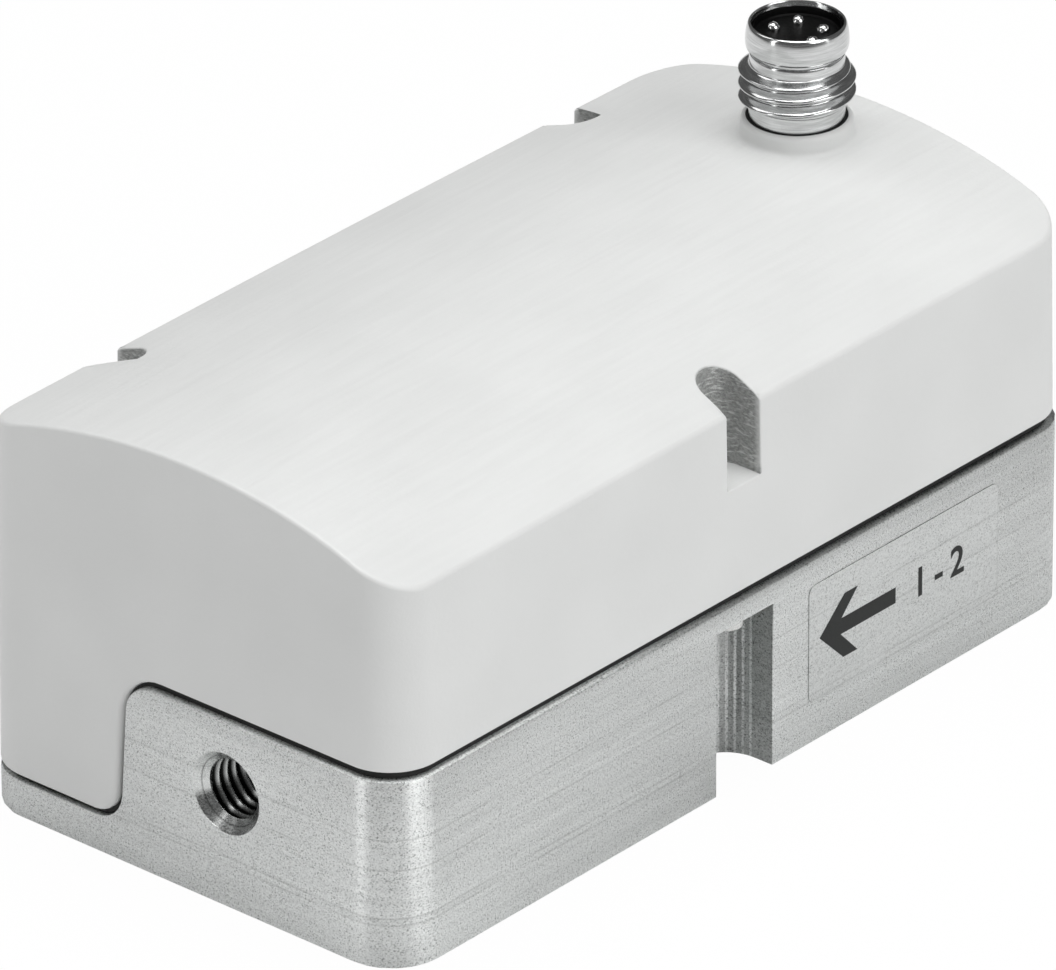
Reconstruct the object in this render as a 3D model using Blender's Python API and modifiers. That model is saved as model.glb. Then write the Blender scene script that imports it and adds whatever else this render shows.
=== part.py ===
"""Inline gas mass flow controller: stepped aluminium base, moulded cover and M8 plug connector.

The object stands on its base: Z is up, Y runs along the flow with the outlet at -Y and the inlet
at +Y, and the origin is the middle of the underside. Sizes are in millimetres, and every mesh is
scaled to metres as it is made.
"""
import math

import bmesh
import bpy
from mathutils import Matrix, Vector

MM = 0.001

# Clearances
SEAT_GAP = 0.3
FINE_GAP = 0.1
HOLE_GAP = 0.3

# Body
BODY_WIDTH = 37.0
BODY_LENGTH = 69.3
CORNER_RADIUS = 3.9

# Base: a low flange on the left and a raised flow block on the right
FLANGE_HEIGHT = 2.74
BLOCK_HEIGHT = 13.67
FLANGE_WIDTH = 12.86
STEP_LEAN = math.radians(4.3)
STEP_FOOT_RADIUS = 2.4
STEP_SHOULDER_RADIUS = 2.3
BASE_EDGE = 0.2

# Seam between base and cover
SEAM_GAP_BLOCK = 0.59
SEAM_GAP_FLANGE = 0.36
SEAM_GAP_STEP = 0.40
SEAL_WIDTH = 1.0
SEAL_RECESS = 0.25
SEAL_CLEARANCE = 0.05

# Cover
CROWN_HEIGHT = 31.4
ARCH_RADIUS = 51.0
ARCH_SHOULDER = 2.0
COVER_DRAFT = math.radians(1.0)
COVER_WALL = 1.6
COVER_EDGE = 1.0
CAVITY_EDGE = 0.6

# Cover screws, their notches in the base and the cover, and their columns in the cover
SCREW_INSET = 1.65
RIGHT_SCREW_OFFSET = -0.2
LEFT_SCREW_FROM_OUTLET = 12.25
LEFT_SCREW_FROM_INLET = 11.55
BASE_NOTCH_RADIUS = 2.89
BASE_NOTCH_ROOF = 1.53
COVER_NOTCH_RADIUS = 1.73
COVER_NOTCH_FLOOR = 22.3
COLUMN_WALL = 1.4
SCREW_HEAD_RADIUS = 1.47
SCREW_HEAD_HEIGHT = 0.9
SCREW_SHANK_RADIUS = 0.8
SCREW_ENGAGEMENT = 5.0
FLANGE_WEB = 1.3
FLANGE_NOTCH_RADIUS = 2.2

# Ports and flow channels
PORT_FROM_STEP = 9.37
PORT_HEIGHT = 8.45
PORT_SINK_RADIUS = 2.95
PORT_SINK_DEPTH = 0.45
PORT_THREAD_RADIUS = 2.5
PORT_THREAD_DEPTH = 6.5
MAIN_BORE_RADIUS = 2.0
CHANNEL_RADIUS = 1.25

# Flow sensor over the bypass taps
SENSOR_FROM_INLET = 20.65
SENSOR_SIZE = (12.0, 22.0, 5.5)
TAP_SPACING = 12.0
TAP_RADIUS = 0.75
SENSING_DUCT_RISE = 2.7
SENSING_DUCT_RADIUS = 0.6
SENSOR_SCREW_SPREAD = (8.4, 18.0)
SENSOR_BOARD_SIZE = (10.0, 13.0, 1.0)
SENSOR_CHIP_SIZE = (5.0, 5.0, 1.2)

# Flow element and filter in the main bore
FLOW_ELEMENT_LENGTH = 9.0
FLOW_ELEMENT_GROOVE_COUNT = 8
FLOW_ELEMENT_GROOVE_DEPTH = 0.35
FILTER_THICKNESS = 1.2
FILTER_FROM_THREAD = 1.0

# Valve
VALVE_FROM_OUTLET = 18.65
VALVE_POCKET_RADIUS = 5.1
VALVE_POCKET_DEPTH = 1.6
VALVE_INLET_OFFSET = 2.9
VALVE_INLET_RADIUS = 0.6
VALVE_OUTLET_RADIUS = 0.8
VALVE_FLANGE_SIZE = (11.6, 17.0, 2.5)
VALVE_SPIGOT_RADIUS = 4.8
VALVE_STEM_RADIUS = 2.9
VALVE_STUD_RADIUS = 1.5
STUD_CHAMFER = 0.2
VALVE_SCREW_SPREAD = (8.0, 13.4)
YOKE_SHEET = 1.1
YOKE_WIDTH = 10.0
COIL_RADIUS = 5.0
BOBBIN_RADIUS = 5.6
BOBBIN_LIP = 0.7
VALVE_NUT_RADIUS = 3.0
VALVE_NUT_HEIGHT = 1.2
VALVE_HEADROOM = 0.75

# Rubber rings
RING_WIRE_RADIUS = 0.4
OUTER_RING_RADIUS = 4.35
INNER_RING_RADIUS = 1.5
TAP_RING_RADIUS = 1.35

# M8 plug connector
CONNECTOR_FROM_INLET = 7.59
BOSS_RADIUS = 3.75
BOSS_RISE = 1.55
BOSS_EDGE = 0.3
BOSS_FILLET = 0.9
SHELL_RISE = 8.45
SHELL_DEPTH = 4.6
SHELL_RIM_RADIUS = 3.3
SHELL_COLLAR_RADIUS = 3.5
SHELL_NECK_RADIUS = 3.22
SHELL_FOOT_RADIUS = 3.34
THREAD_RADIUS = 3.98
THREAD_RUN = 2.75
THREAD_START = 1.2
THREAD_LEAD_OUT = 0.4
THREAD_CHAMFER_TOP = 0.3
THREAD_CHAMFER_FOOT = 0.5
COLLAR_CROWNING = 0.05
COLLAR_DROPS = (0.5, 1.15, 1.7)
GROOVE_RISE = 0.85
GROOVE_DEPTH = 0.1
GROOVE_WIDTH = 0.1
GROOVE_LIP = 0.05
SHELL_MOUTH_RADIUS = 3.02
SHELL_MOUTH_CHAMFER = (0.1, 0.15)
SHELL_BORE_RADIUS = 2.75
INSERT_DEPTH = 0.95
INSERT_HEAD = 2.2
INSERT_TAIL = 1.2
PIN_RADIUS = 0.47
PIN_CIRCLE = 1.78
PIN_ANGLES = (195.0, 128.0, 52.0, -15.0)
PIN_TAIL = 2.4
PIN_POINT = 0.19
RING_SEAT_WIDTH = 0.13
RING_SEAT_DEPTH = 0.4
RING_STAND = 0.1
RING_CLEARANCE = 0.03
CONNECTOR_BOARD_SIZE = (7.6, 7.6, 0.8)

# Main circuit board, standing beside the block
BOARD_FROM_STEP = 4.6
BOARD_THICKNESS = 1.0
BOARD_END_MARGIN = 4.0
BOARD_FOOT_CLEARANCE = 0.6
BOARD_HEADROOM = 1.4
SPACER_HEIGHT = 9.0
SPACER_FROM_END = 8.0
SPACER_RADIUS = 2.0
BOARD_SCREW_HEAD = (1.6, 1.1)
BOARD_SCREW_RADIUS = 0.85
BOARD_SCREW_BITE = 3.0
CHIP_SIZE = (1.0, 7.0, 7.0)
CHIP_HEIGHT = 14.0
CAPACITOR_RADIUS = 1.6
CAPACITOR_LENGTH = 2.2
CAPACITOR_PLACES = ((11.0, 10.0), (11.0, 15.5))
HEADER_SIZE = (2.6, 6.0, 3.0)
HEADER_DROP = 3.4
FLEX_WIDTH = 4.0
FLEX_THICKNESS = 0.3
FLEX_STEPS = 8

# Fixing holes and small screws
FIXING_HOLE_RADIUS = 1.25
FIXING_HOLE_DEPTH = 5.0
FIXING_HOLE_FROM_SIDE = 6.0
FIXING_HOLE_FROM_END = 9.0
SMALL_SCREW_HEAD = (1.4, 1.0)
SMALL_SCREW_RADIUS = 0.7
SMALL_SCREW_BITE = 2.6
DRIVE_RADIUS = 0.6
DRIVE_DEPTH = 0.5

# Facets
ROUND_STEPS = 32
SMALL_STEPS = 16
CORNER_STEPS = 6
ARCH_STEPS = 10
SHARP_ANGLE = math.radians(32)

# How far a cutter passes the surface that it opens
PAST = 1.0


def crown(x, radius=ARCH_RADIUS, top=CROWN_HEIGHT):
    """Height of the arched top at a distance from the middle."""
    return top - radius + math.sqrt(radius * radius - x * x)


def ceiling(x):
    """Height of the cover's inside at a distance from the middle."""
    return crown(x, ARCH_RADIUS - COVER_WALL, CROWN_HEIGHT - COVER_WALL)


# Places that follow from the sizes above
HALF_WIDTH = BODY_WIDTH / 2
HALF_LENGTH = BODY_LENGTH / 2
STEP_X = -HALF_WIDTH + FLANGE_WIDTH
PORT_X = STEP_X + PORT_FROM_STEP
RIGHT_SCREW = (HALF_WIDTH - SCREW_INSET, RIGHT_SCREW_OFFSET)
LEFT_SCREWS = ((-HALF_WIDTH + SCREW_INSET, -HALF_LENGTH + LEFT_SCREW_FROM_OUTLET),
               (-HALF_WIDTH + SCREW_INSET, HALF_LENGTH - LEFT_SCREW_FROM_INLET))
SCREW_AXES = (RIGHT_SCREW,) + LEFT_SCREWS
BLOCK_SEAT = BLOCK_HEIGHT + SEAT_GAP
SENSOR_Y = HALF_LENGTH - SENSOR_FROM_INLET
VALVE_Y = -HALF_LENGTH + VALVE_FROM_OUTLET
VALVE_INLET_Y = VALVE_Y + VALVE_INLET_OFFSET
POCKET_FLOOR = BLOCK_HEIGHT - VALVE_POCKET_DEPTH
CONNECTOR_Y = HALF_LENGTH - CONNECTOR_FROM_INLET
BOSS_TOP = CROWN_HEIGHT + BOSS_RISE
RIM_Z = CROWN_HEIGHT + SHELL_RISE
SHELL_FOOT_Z = CROWN_HEIGHT - SHELL_DEPTH + COVER_WALL
INSERT_FACE_Z = RIM_Z - INSERT_DEPTH
INSERT_FOOT_Z = SHELL_FOOT_Z - INSERT_TAIL
BOARD_X = STEP_X - BOARD_FROM_STEP
BOARD_FOOT = FLANGE_HEIGHT + BOARD_FOOT_CLEARANCE
BOARD_TOP = ceiling(BOARD_X - BOARD_THICKNESS) - BOARD_HEADROOM
FLANGE_TOP_Z = BLOCK_SEAT + VALVE_FLANGE_SIZE[2]
YOKE_Z = FLANGE_TOP_Z + SEAT_GAP
COIL_Z = YOKE_Z + YOKE_SHEET + SEAT_GAP
STUD_TOP_Z = ceiling(PORT_X + VALVE_STUD_RADIUS) - VALVE_HEADROOM
NUT_Z = STUD_TOP_Z - FINE_GAP - VALVE_NUT_HEIGHT
STEM_TOP_Z = NUT_Z - SEAT_GAP
YOKE_HEIGHT = STEM_TOP_Z - YOKE_Z
COIL_HEIGHT = YOKE_HEIGHT - 2 * YOKE_SHEET - 2 * SEAT_GAP
SENSOR_TOP_Z = BLOCK_SEAT + SENSOR_SIZE[2]
SENSOR_BOARD_Z = SENSOR_TOP_Z + SEAT_GAP
CONNECTOR_BOARD_TOP = INSERT_FOOT_Z - SEAT_GAP

FINISHES = {
    "machined_aluminium": ((0.50, 0.51, 0.50), 0.42, 1.0),
    "cover_plastic": ((0.78, 0.79, 0.78), 0.48, 0.0),
    "black_rubber": ((0.02, 0.02, 0.02), 0.7, 0.0),
    "nickel_plate": ((0.62, 0.62, 0.60), 0.18, 1.0),
    "black_plastic": ((0.015, 0.015, 0.015), 0.5, 0.0),
    "pin_plate": ((0.72, 0.72, 0.70), 0.15, 1.0),
    "steel": ((0.55, 0.55, 0.55), 0.3, 1.0),
    "circuit_board": ((0.02, 0.16, 0.06), 0.45, 0.0),
    "sensor_plastic": ((0.35, 0.36, 0.38), 0.5, 0.0),
    "sintered_metal": ((0.42, 0.41, 0.39), 0.65, 1.0),
    "copper_winding": ((0.45, 0.16, 0.06), 0.4, 0.6),
    "polyimide": ((0.55, 0.25, 0.04), 0.4, 0.0),
}


def clear_scene():
    """Removes what a new file holds."""
    for item in list(bpy.data.objects):
        bpy.data.objects.remove(item, do_unlink=True)


def new_collection(name):
    """Makes a collection in the scene."""
    collection = bpy.data.collections.new(name)
    bpy.context.scene.collection.children.link(collection)
    return collection


def make_finish(name):
    """Makes a material with the colour, roughness and metallic value of a finish."""
    colour, roughness, metallic = FINISHES[name]
    material = bpy.data.materials.new(name)
    material.use_nodes = True
    shader = material.node_tree.nodes["Principled BSDF"]
    shader.inputs["Base Color"].default_value = (*colour, 1.0)
    shader.inputs["Roughness"].default_value = roughness
    shader.inputs["Metallic"].default_value = metallic
    return material


def smooth_by_angle():
    """Makes the node group that shades a finished piece smooth and leaves its edges sharp."""
    group = bpy.data.node_groups.new("smooth_by_angle", "GeometryNodeTree")
    group.is_modifier = True
    group.interface.new_socket("Geometry", in_out="INPUT", socket_type="NodeSocketGeometry")
    group.interface.new_socket("Geometry", in_out="OUTPUT", socket_type="NodeSocketGeometry")
    source = group.nodes.new("NodeGroupInput")
    faces = group.nodes.new("GeometryNodeSetShadeSmooth")
    angle = group.nodes.new("GeometryNodeInputMeshEdgeAngle")
    steep = group.nodes.new("FunctionNodeCompare")
    steep.operation = "GREATER_THAN"
    steep.inputs["B"].default_value = SHARP_ANGLE
    edges = group.nodes.new("GeometryNodeSetShadeSmooth")
    edges.domain = "EDGE"
    edges.inputs["Shade Smooth"].default_value = False
    result = group.nodes.new("NodeGroupOutput")
    group.links.new(source.outputs[0], faces.inputs["Geometry"])
    group.links.new(faces.outputs[0], edges.inputs["Geometry"])
    group.links.new(angle.outputs["Unsigned Angle"], steep.inputs["A"])
    group.links.new(steep.outputs[0], edges.inputs["Selection"])
    group.links.new(edges.outputs[0], result.inputs[0])
    return group


def object_from_bmesh(name, shape):
    """Turns a bmesh in millimetres into an object in metres."""
    bmesh.ops.scale(shape, vec=(MM, MM, MM), verts=shape.verts)
    mesh = bpy.data.meshes.new(name)
    shape.to_mesh(mesh)
    shape.free()
    return bpy.data.objects.new(name, mesh)


def place(item, position, turn=(0.0, 0.0, 0.0)):
    """Sets an object's place in millimetres and its turn in degrees."""
    item.location = Vector(position) * MM
    item.rotation_euler = [math.radians(angle) for angle in turn]
    return item


def box(name, size, centre):
    """A block with its size and its centre."""
    shape = bmesh.new()
    bmesh.ops.create_cube(shape, size=1.0)
    bmesh.ops.scale(shape, vec=size, verts=shape.verts)
    return place(object_from_bmesh(name, shape), centre)


def cylinder(name, radius, length, foot, turn=(0.0, 0.0, 0.0), steps=ROUND_STEPS, tip_radius=None):
    """A cylinder or cone that rises from its foot along its own Z."""
    shape = bmesh.new()
    bmesh.ops.create_cone(shape, cap_ends=True, segments=steps, radius1=radius,
                          radius2=radius if tip_radius is None else tip_radius, depth=length)
    bmesh.ops.translate(shape, vec=(0.0, 0.0, length / 2), verts=shape.verts)
    return place(object_from_bmesh(name, shape), foot, turn)


def bore(name, radius, start, end, steps=SMALL_STEPS):
    """A cylinder between two points, to cut a straight hole."""
    start = Vector(start)
    run = Vector(end) - start
    item = cylinder(name, radius, run.length, start, steps=steps)
    item.rotation_euler = run.to_track_quat("Z", "Y").to_euler()
    return item


def rounded(corners, steps=CORNER_STEPS):
    """Closed outline through (x, y, radius) corners, with each corner an arc of its radius."""
    outline = []
    for index, (x, y, radius) in enumerate(corners):
        corner = Vector((x, y))
        before = (Vector(corners[index - 1][:2]) - corner).normalized()
        after = (Vector(corners[(index + 1) % len(corners)][:2]) - corner).normalized()
        if radius <= 0.0:
            outline.append((x, y))
            continue
        half = before.angle(after) / 2
        centre = corner + (before + after).normalized() * (radius / math.sin(half))
        reach = radius / math.tan(half)
        first = corner + before * reach - centre
        sweep = first.angle_signed(corner + after * reach - centre)
        for step in range(steps + 1):
            turned = Matrix.Rotation(-sweep * step / steps, 2) @ first
            outline.append(tuple(centre + turned))
    return outline


def prism(name, outline, low, high, turn=(0.0, 0.0, 0.0)):
    """A flat outline extruded along its own Z from low to high."""
    curve = bpy.data.curves.new(name, "CURVE")
    curve.dimensions = "2D"
    curve.fill_mode = "BOTH"
    curve.extrude = (high - low) / 2 * MM
    spline = curve.splines.new("POLY")
    spline.points.add(len(outline) - 1)
    for point, (x, y) in zip(spline.points, outline):
        point.co = (x * MM, y * MM, 0.0, 1.0)
    spline.use_cyclic_u = True
    guide = bpy.data.objects.new(name, curve)
    bpy.context.scene.collection.objects.link(guide)
    bpy.context.view_layer.update()
    mesh = bpy.data.meshes.new_from_object(guide.evaluated_get(bpy.context.evaluated_depsgraph_get()))
    bpy.data.objects.remove(guide, do_unlink=True)
    bpy.data.curves.remove(curve)
    shape = bmesh.new()
    shape.from_mesh(mesh)
    bpy.data.meshes.remove(mesh)
    bmesh.ops.remove_doubles(shape, verts=shape.verts, dist=1e-7)
    bmesh.ops.recalc_face_normals(shape, faces=shape.faces)
    bmesh.ops.translate(shape, vec=(0.0, 0.0, (low + high) / 2 * MM), verts=shape.verts)
    mesh = bpy.data.meshes.new(name)
    shape.to_mesh(mesh)
    shape.free()
    item = bpy.data.objects.new(name, mesh)
    item.rotation_euler = [math.radians(angle) for angle in turn]
    return item


def turned(name, profile, position=(0.0, 0.0, 0.0), steps=ROUND_STEPS, closed=False):
    """A turned piece: a profile of (radius, height) points, its outer side from top to bottom."""
    mesh = bpy.data.meshes.new(name)
    count = len(profile)
    edges = [(index, index + 1) for index in range(count - 1)]
    if closed:
        edges.append((count - 1, 0))
    mesh.from_pydata([(radius * MM, 0.0, height * MM) for radius, height in profile], edges, [])
    item = bpy.data.objects.new(name, mesh)
    screw = item.modifiers.new("turn", "SCREW")
    screw.axis = "Z"
    screw.steps = steps
    screw.render_steps = steps
    screw.use_merge_vertices = True
    screw.merge_threshold = 0.00001
    return place(item, position)


def ring(name, radius, wire_radius, position, steps=SMALL_STEPS, wire_steps=6):
    """A rubber ring, round in section."""
    angles = [-2 * math.pi * step / wire_steps for step in range(wire_steps)]
    profile = [(radius + wire_radius * math.cos(a), wire_radius * math.sin(a)) for a in angles]
    return turned(name, profile, position, steps=steps, closed=True)


def arc(centre_x, centre_y, radius, start, end, steps=CORNER_STEPS):
    """Points along an arc, with its angles in degrees."""
    points = []
    for step in range(steps + 1):
        angle = math.radians(start + (end - start) * step / steps)
        points.append((centre_x + radius * math.cos(angle), centre_y + radius * math.sin(angle)))
    return points


class Builder:
    """Keeps the collections and finishes, and adds pieces, cuts and joins to them."""

    def __init__(self):
        self.parts = new_collection("mass_flow_controller")
        self.cutters = new_collection("cutters")
        self.root = bpy.data.objects.new("controller_root", None)
        self.parts.objects.link(self.root)
        self.finishes = {name: make_finish(name) for name in FINISHES}
        self.shading = smooth_by_angle()

    def add(self, item, finish):
        """Adds a finished piece to the object with its material."""
        self.parts.objects.link(item)
        item.parent = self.root
        item.data.materials.clear()
        item.data.materials.append(self.finishes[finish])
        item.modifiers.new("shading", "NODES").node_group = self.shading
        return item

    def combine(self, item, tool, operation):
        """Adds a Boolean with a tool that is kept out of the model."""
        if tool.name not in self.cutters.objects:
            self.cutters.objects.link(tool)
        tool.hide_render = True
        tool.display_type = "WIRE"
        modifier = item.modifiers.new(tool.name, "BOOLEAN")
        modifier.operation = operation
        modifier.solver = "EXACT"
        modifier.object = tool
        return item

    def cut(self, item, *tools):
        """Cuts tools out of a piece."""
        for tool in tools:
            self.combine(item, tool, "DIFFERENCE")
        return item

    def join(self, item, *tools):
        """Joins tools to a piece."""
        for tool in tools:
            self.combine(item, tool, "UNION")
        return item

    def keep(self, item, tool):
        """Keeps only what a piece and a tool share."""
        return self.combine(item, tool, "INTERSECT")


def plan_outline(inset=0.0):
    """The body's rounded rectangle seen from above."""
    x, y, radius = HALF_WIDTH - inset, HALF_LENGTH - inset, CORNER_RADIUS - inset
    return rounded(((-x, -y, radius), (x, -y, radius), (x, y, radius), (-x, y, radius)))


def step_line(flange_gap, step_gap, block_gap, reach):
    """The base's stepped top line seen from the outlet end, moved away from the base by the gaps."""
    low = FLANGE_HEIGHT + flange_gap
    high = BLOCK_HEIGHT + block_gap
    foot_x = STEP_X - step_gap + flange_gap * math.tan(STEP_LEAN)
    head_x = STEP_X - step_gap + (high - FLANGE_HEIGHT) * math.tan(STEP_LEAN)
    corners = ((-reach, low, 0.0), (foot_x, low, STEP_FOOT_RADIUS - step_gap),
               (head_x, high, STEP_SHOULDER_RADIUS + step_gap), (reach, high, 0.0))
    return rounded(corners)


def stepped_solid(name, line_below, depth, length):
    """What lies under a stepped line, down to a depth, along the whole body."""
    reach = line_below[-1][0]
    outline = list(line_below) + [(reach, -depth), (-reach, -depth)]
    return prism(name, outline, -length / 2, length / 2, turn=(90.0, 0.0, 0.0))


def skeleton():
    """The body's plan as (x, y, outward x, outward y) from left to right along the outlet half.

    A point on the skeleton moved outwards by the corner radius lies on the body's side.
    """
    inner_x = HALF_WIDTH - CORNER_RADIUS
    inner_y = -(HALF_LENGTH - CORNER_RADIUS)
    half = []
    for x, y in arc(0.0, 0.0, 1.0, 180.0, 270.0):
        half.append((-inner_x, inner_y, x, y))
    for step in range(1, ARCH_STEPS):
        half.append((-inner_x + 2 * inner_x * step / ARCH_STEPS, inner_y, 0.0, -1.0))
    for x, y in arc(0.0, 0.0, 1.0, 270.0, 360.0):
        half.append((inner_x, inner_y, x, y))
    return half


def arched_block(name, foot, wall, edge):
    """The cover's drafted block with its arched top and a rolled edge, set in by a wall.

    It is a loft of rings. Each ring is the body's plan, drawn in by the draft at its own height and
    by its share of the rolled edge, and the top ring is closed by strips along the arch.
    """
    base_height = FLANGE_HEIGHT + SEAM_GAP_FLANGE
    arch_radius = ARCH_RADIUS - wall
    arch_top = CROWN_HEIGHT - wall
    half = skeleton()
    rolls = [math.radians(90.0 * step / 3) for step in range(4)]
    shape = bmesh.new()
    rings = []

    def side_point(anchor, height, roll_inset):
        anchor_x, anchor_y, out_x, out_y = anchor
        inset = wall + (height - base_height) * math.tan(COVER_DRAFT) + roll_inset
        reach = CORNER_RADIUS - inset
        return anchor_x + out_x * reach, anchor_y + out_y * reach, height

    def add_ring(points):
        mirrored = [(x, -y, z) for x, y, z in reversed(points)]
        rings.append([shape.verts.new(point) for point in points + mirrored])

    add_ring([side_point(anchor, foot, 0.0) for anchor in half])
    for roll in rolls:
        points = []
        for anchor in half:
            roll_inset = edge * (1.0 - math.cos(roll))
            x, y, _ = side_point(anchor, arch_top - ARCH_SHOULDER, roll_inset)
            points.append((x, y, crown(x, arch_radius, arch_top) - edge * (1.0 - math.sin(roll))))
        add_ring(points)
    count = len(rings[0])
    for lower, upper in zip(rings, rings[1:]):
        for index in range(count):
            after = (index + 1) % count
            shape.faces.new((lower[index], lower[after], upper[after], upper[index]))
    for level in (rings[0], rings[-1]):
        for index in range(len(half) - 1):
            across = count - 1 - index
            shape.faces.new((level[index], level[index + 1], level[across - 1], level[across]))
    bmesh.ops.recalc_face_normals(shape, faces=shape.faces)
    return object_from_bmesh(name, shape)


def side_notch(name, axis, radius, low, high):
    """A U-shaped notch that is open to the nearest side."""
    x, y = axis
    side = math.copysign(1.0, x)
    outer = side * (HALF_WIDTH + 2.0)
    inner = x - side * radius
    half = radius - 0.0005
    outline = rounded(((inner, y - radius, half), (outer, y - radius, 0.0),
                       (outer, y + radius, 0.0), (inner, y + radius, half)), steps=8)
    return prism(name, outline, low, high)


def build_base(builder):
    """The machined base with its step, ports, flow channels, pocket, notch and screw holes."""
    reach = BODY_WIDTH
    base = stepped_solid("base_block", step_line(0.0, 0.0, 0.0, reach), 2.0, BODY_LENGTH + 4.0)
    builder.keep(base, prism("base_plan", plan_outline(), 0.0, BLOCK_HEIGHT + 2.0))
    bevel = base.modifiers.new("edge", "BEVEL")
    bevel.width = BASE_EDGE * MM
    bevel.segments = 2
    bevel.limit_method = "ANGLE"
    bevel.angle_limit = math.radians(40)
    notch_roof = BLOCK_HEIGHT - BASE_NOTCH_ROOF
    builder.cut(base, side_notch("base_notch", RIGHT_SCREW, BASE_NOTCH_RADIUS, -PAST, notch_roof))
    hole = SCREW_SHANK_RADIUS + HOLE_GAP
    builder.cut(base, bore("cover_hole_1", hole, (*RIGHT_SCREW, notch_roof - PAST),
                           (*RIGHT_SCREW, BLOCK_HEIGHT + PAST)))
    for number, axis in enumerate(LEFT_SCREWS, start=2):
        builder.cut(base, bore(f"cover_hole_{number}", hole, (*axis, -PAST), (*axis, FLANGE_HEIGHT + PAST)),
                    side_notch(f"flange_notch_{number}", axis, FLANGE_NOTCH_RADIUS, -PAST,
                               FLANGE_HEIGHT - FLANGE_WEB))
    cut_ports(builder, base)
    cut_channels(builder, base)
    cut_block_top(builder, base)
    for end in (-1.0, 1.0):
        x, y = HALF_WIDTH - FIXING_HOLE_FROM_SIDE, end * (HALF_LENGTH - FIXING_HOLE_FROM_END)
        builder.cut(base, bore(f"fixing_hole_{'inlet' if end > 0 else 'outlet'}", FIXING_HOLE_RADIUS,
                               (x, y, -PAST), (x, y, FIXING_HOLE_DEPTH)))
    return builder.add(base, "machined_aluminium")


def cut_ports(builder, base):
    """The sunk and threaded port in each end."""
    for end, name in ((-1.0, "outlet"), (1.0, "inlet")):
        def at(depth, side=end):
            return PORT_X, side * (HALF_LENGTH - depth), PORT_HEIGHT
        sink = cylinder(f"{name}_sink", PORT_THREAD_RADIUS, PORT_SINK_DEPTH + PAST, at(PORT_SINK_DEPTH),
                        turn=(-90.0 * end, 0.0, 0.0),
                        tip_radius=PORT_SINK_RADIUS + (PORT_SINK_RADIUS - PORT_THREAD_RADIUS)
                        / PORT_SINK_DEPTH)
        builder.cut(base, sink,
                    bore(f"{name}_thread", PORT_THREAD_RADIUS, at(-PAST), at(PORT_THREAD_DEPTH),
                         steps=ROUND_STEPS))


def cut_channels(builder, base):
    """The main bore, the channels to and from the valve, and the bypass taps."""
    thread_end = HALF_LENGTH - PORT_THREAD_DEPTH
    bore_end = SENSOR_Y - TAP_SPACING / 2 - MAIN_BORE_RADIUS
    z = PORT_HEIGHT
    builder.cut(base,
                bore("main_bore", MAIN_BORE_RADIUS, (PORT_X, thread_end + PAST, z), (PORT_X, bore_end, z),
                     steps=ROUND_STEPS),
                bore("valve_inlet", CHANNEL_RADIUS, (PORT_X, bore_end + PAST, z),
                     (PORT_X, VALVE_INLET_Y - VALVE_INLET_RADIUS, z)),
                bore("valve_inlet_riser", VALVE_INLET_RADIUS, (PORT_X, VALVE_INLET_Y, z),
                     (PORT_X, VALVE_INLET_Y, POCKET_FLOOR + 0.5)),
                bore("valve_outlet", CHANNEL_RADIUS, (PORT_X, -thread_end - PAST, z),
                     (PORT_X, VALVE_Y + VALVE_OUTLET_RADIUS, z)),
                bore("valve_outlet_riser", VALVE_OUTLET_RADIUS, (PORT_X, VALVE_Y, z),
                     (PORT_X, VALVE_Y, POCKET_FLOOR + 0.5)))
    for side in (-1.0, 1.0):
        tap_y = SENSOR_Y + side * TAP_SPACING / 2
        ring_seat = BLOCK_HEIGHT - 2 * RING_WIRE_RADIUS - FINE_GAP
        builder.cut(base,
                    bore(f"tap_{int(side)}", TAP_RADIUS, (PORT_X, tap_y, z),
                         (PORT_X, tap_y, BLOCK_HEIGHT + PAST)),
                    bore(f"tap_seat_{int(side)}", TAP_RING_RADIUS + RING_WIRE_RADIUS + FINE_GAP,
                         (PORT_X, tap_y, ring_seat), (PORT_X, tap_y, BLOCK_HEIGHT + PAST),
                         steps=ROUND_STEPS))


def cut_block_top(builder, base):
    """The valve's pocket, and the threaded holes for the valve, the sensor and the board."""
    builder.cut(base, bore("valve_pocket", VALVE_POCKET_RADIUS, (PORT_X, VALVE_Y, POCKET_FLOOR),
                           (PORT_X, VALVE_Y, BLOCK_HEIGHT + PAST), steps=ROUND_STEPS))
    hole = SMALL_SCREW_RADIUS + HOLE_GAP
    depth = SMALL_SCREW_BITE + HOLE_GAP
    for number, (x, y) in enumerate(valve_screw_axes() + sensor_screw_axes(), start=1):
        builder.cut(base, bore(f"top_hole_{number}", hole, (x, y, BLOCK_HEIGHT - depth),
                               (x, y, BLOCK_HEIGHT + PAST), steps=12))
    for number, y in enumerate(spacer_places(), start=1):
        face = step_face(SPACER_HEIGHT)
        builder.cut(base, bore(f"board_hole_{number}", BOARD_SCREW_RADIUS + HOLE_GAP,
                               (face - PAST, y, SPACER_HEIGHT),
                               (face + BOARD_SCREW_BITE + HOLE_GAP, y, SPACER_HEIGHT), steps=12))


def step_face(height):
    """Distance from the middle plane to the block's leaning face at a height."""
    return STEP_X + (height - FLANGE_HEIGHT) * math.tan(STEP_LEAN)


def valve_screw_axes():
    """The valve's two screws, on a diagonal of its flange."""
    x, y = VALVE_SCREW_SPREAD[0] / 2, VALVE_SCREW_SPREAD[1] / 2
    return [(PORT_X + x, VALVE_Y + y), (PORT_X - x, VALVE_Y - y)]


def sensor_screw_axes():
    """The sensor's two screws, on a diagonal of its body."""
    x, y = SENSOR_SCREW_SPREAD[0] / 2, SENSOR_SCREW_SPREAD[1] / 2
    return [(PORT_X + x, SENSOR_Y + y), (PORT_X - x, SENSOR_Y - y)]


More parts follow.
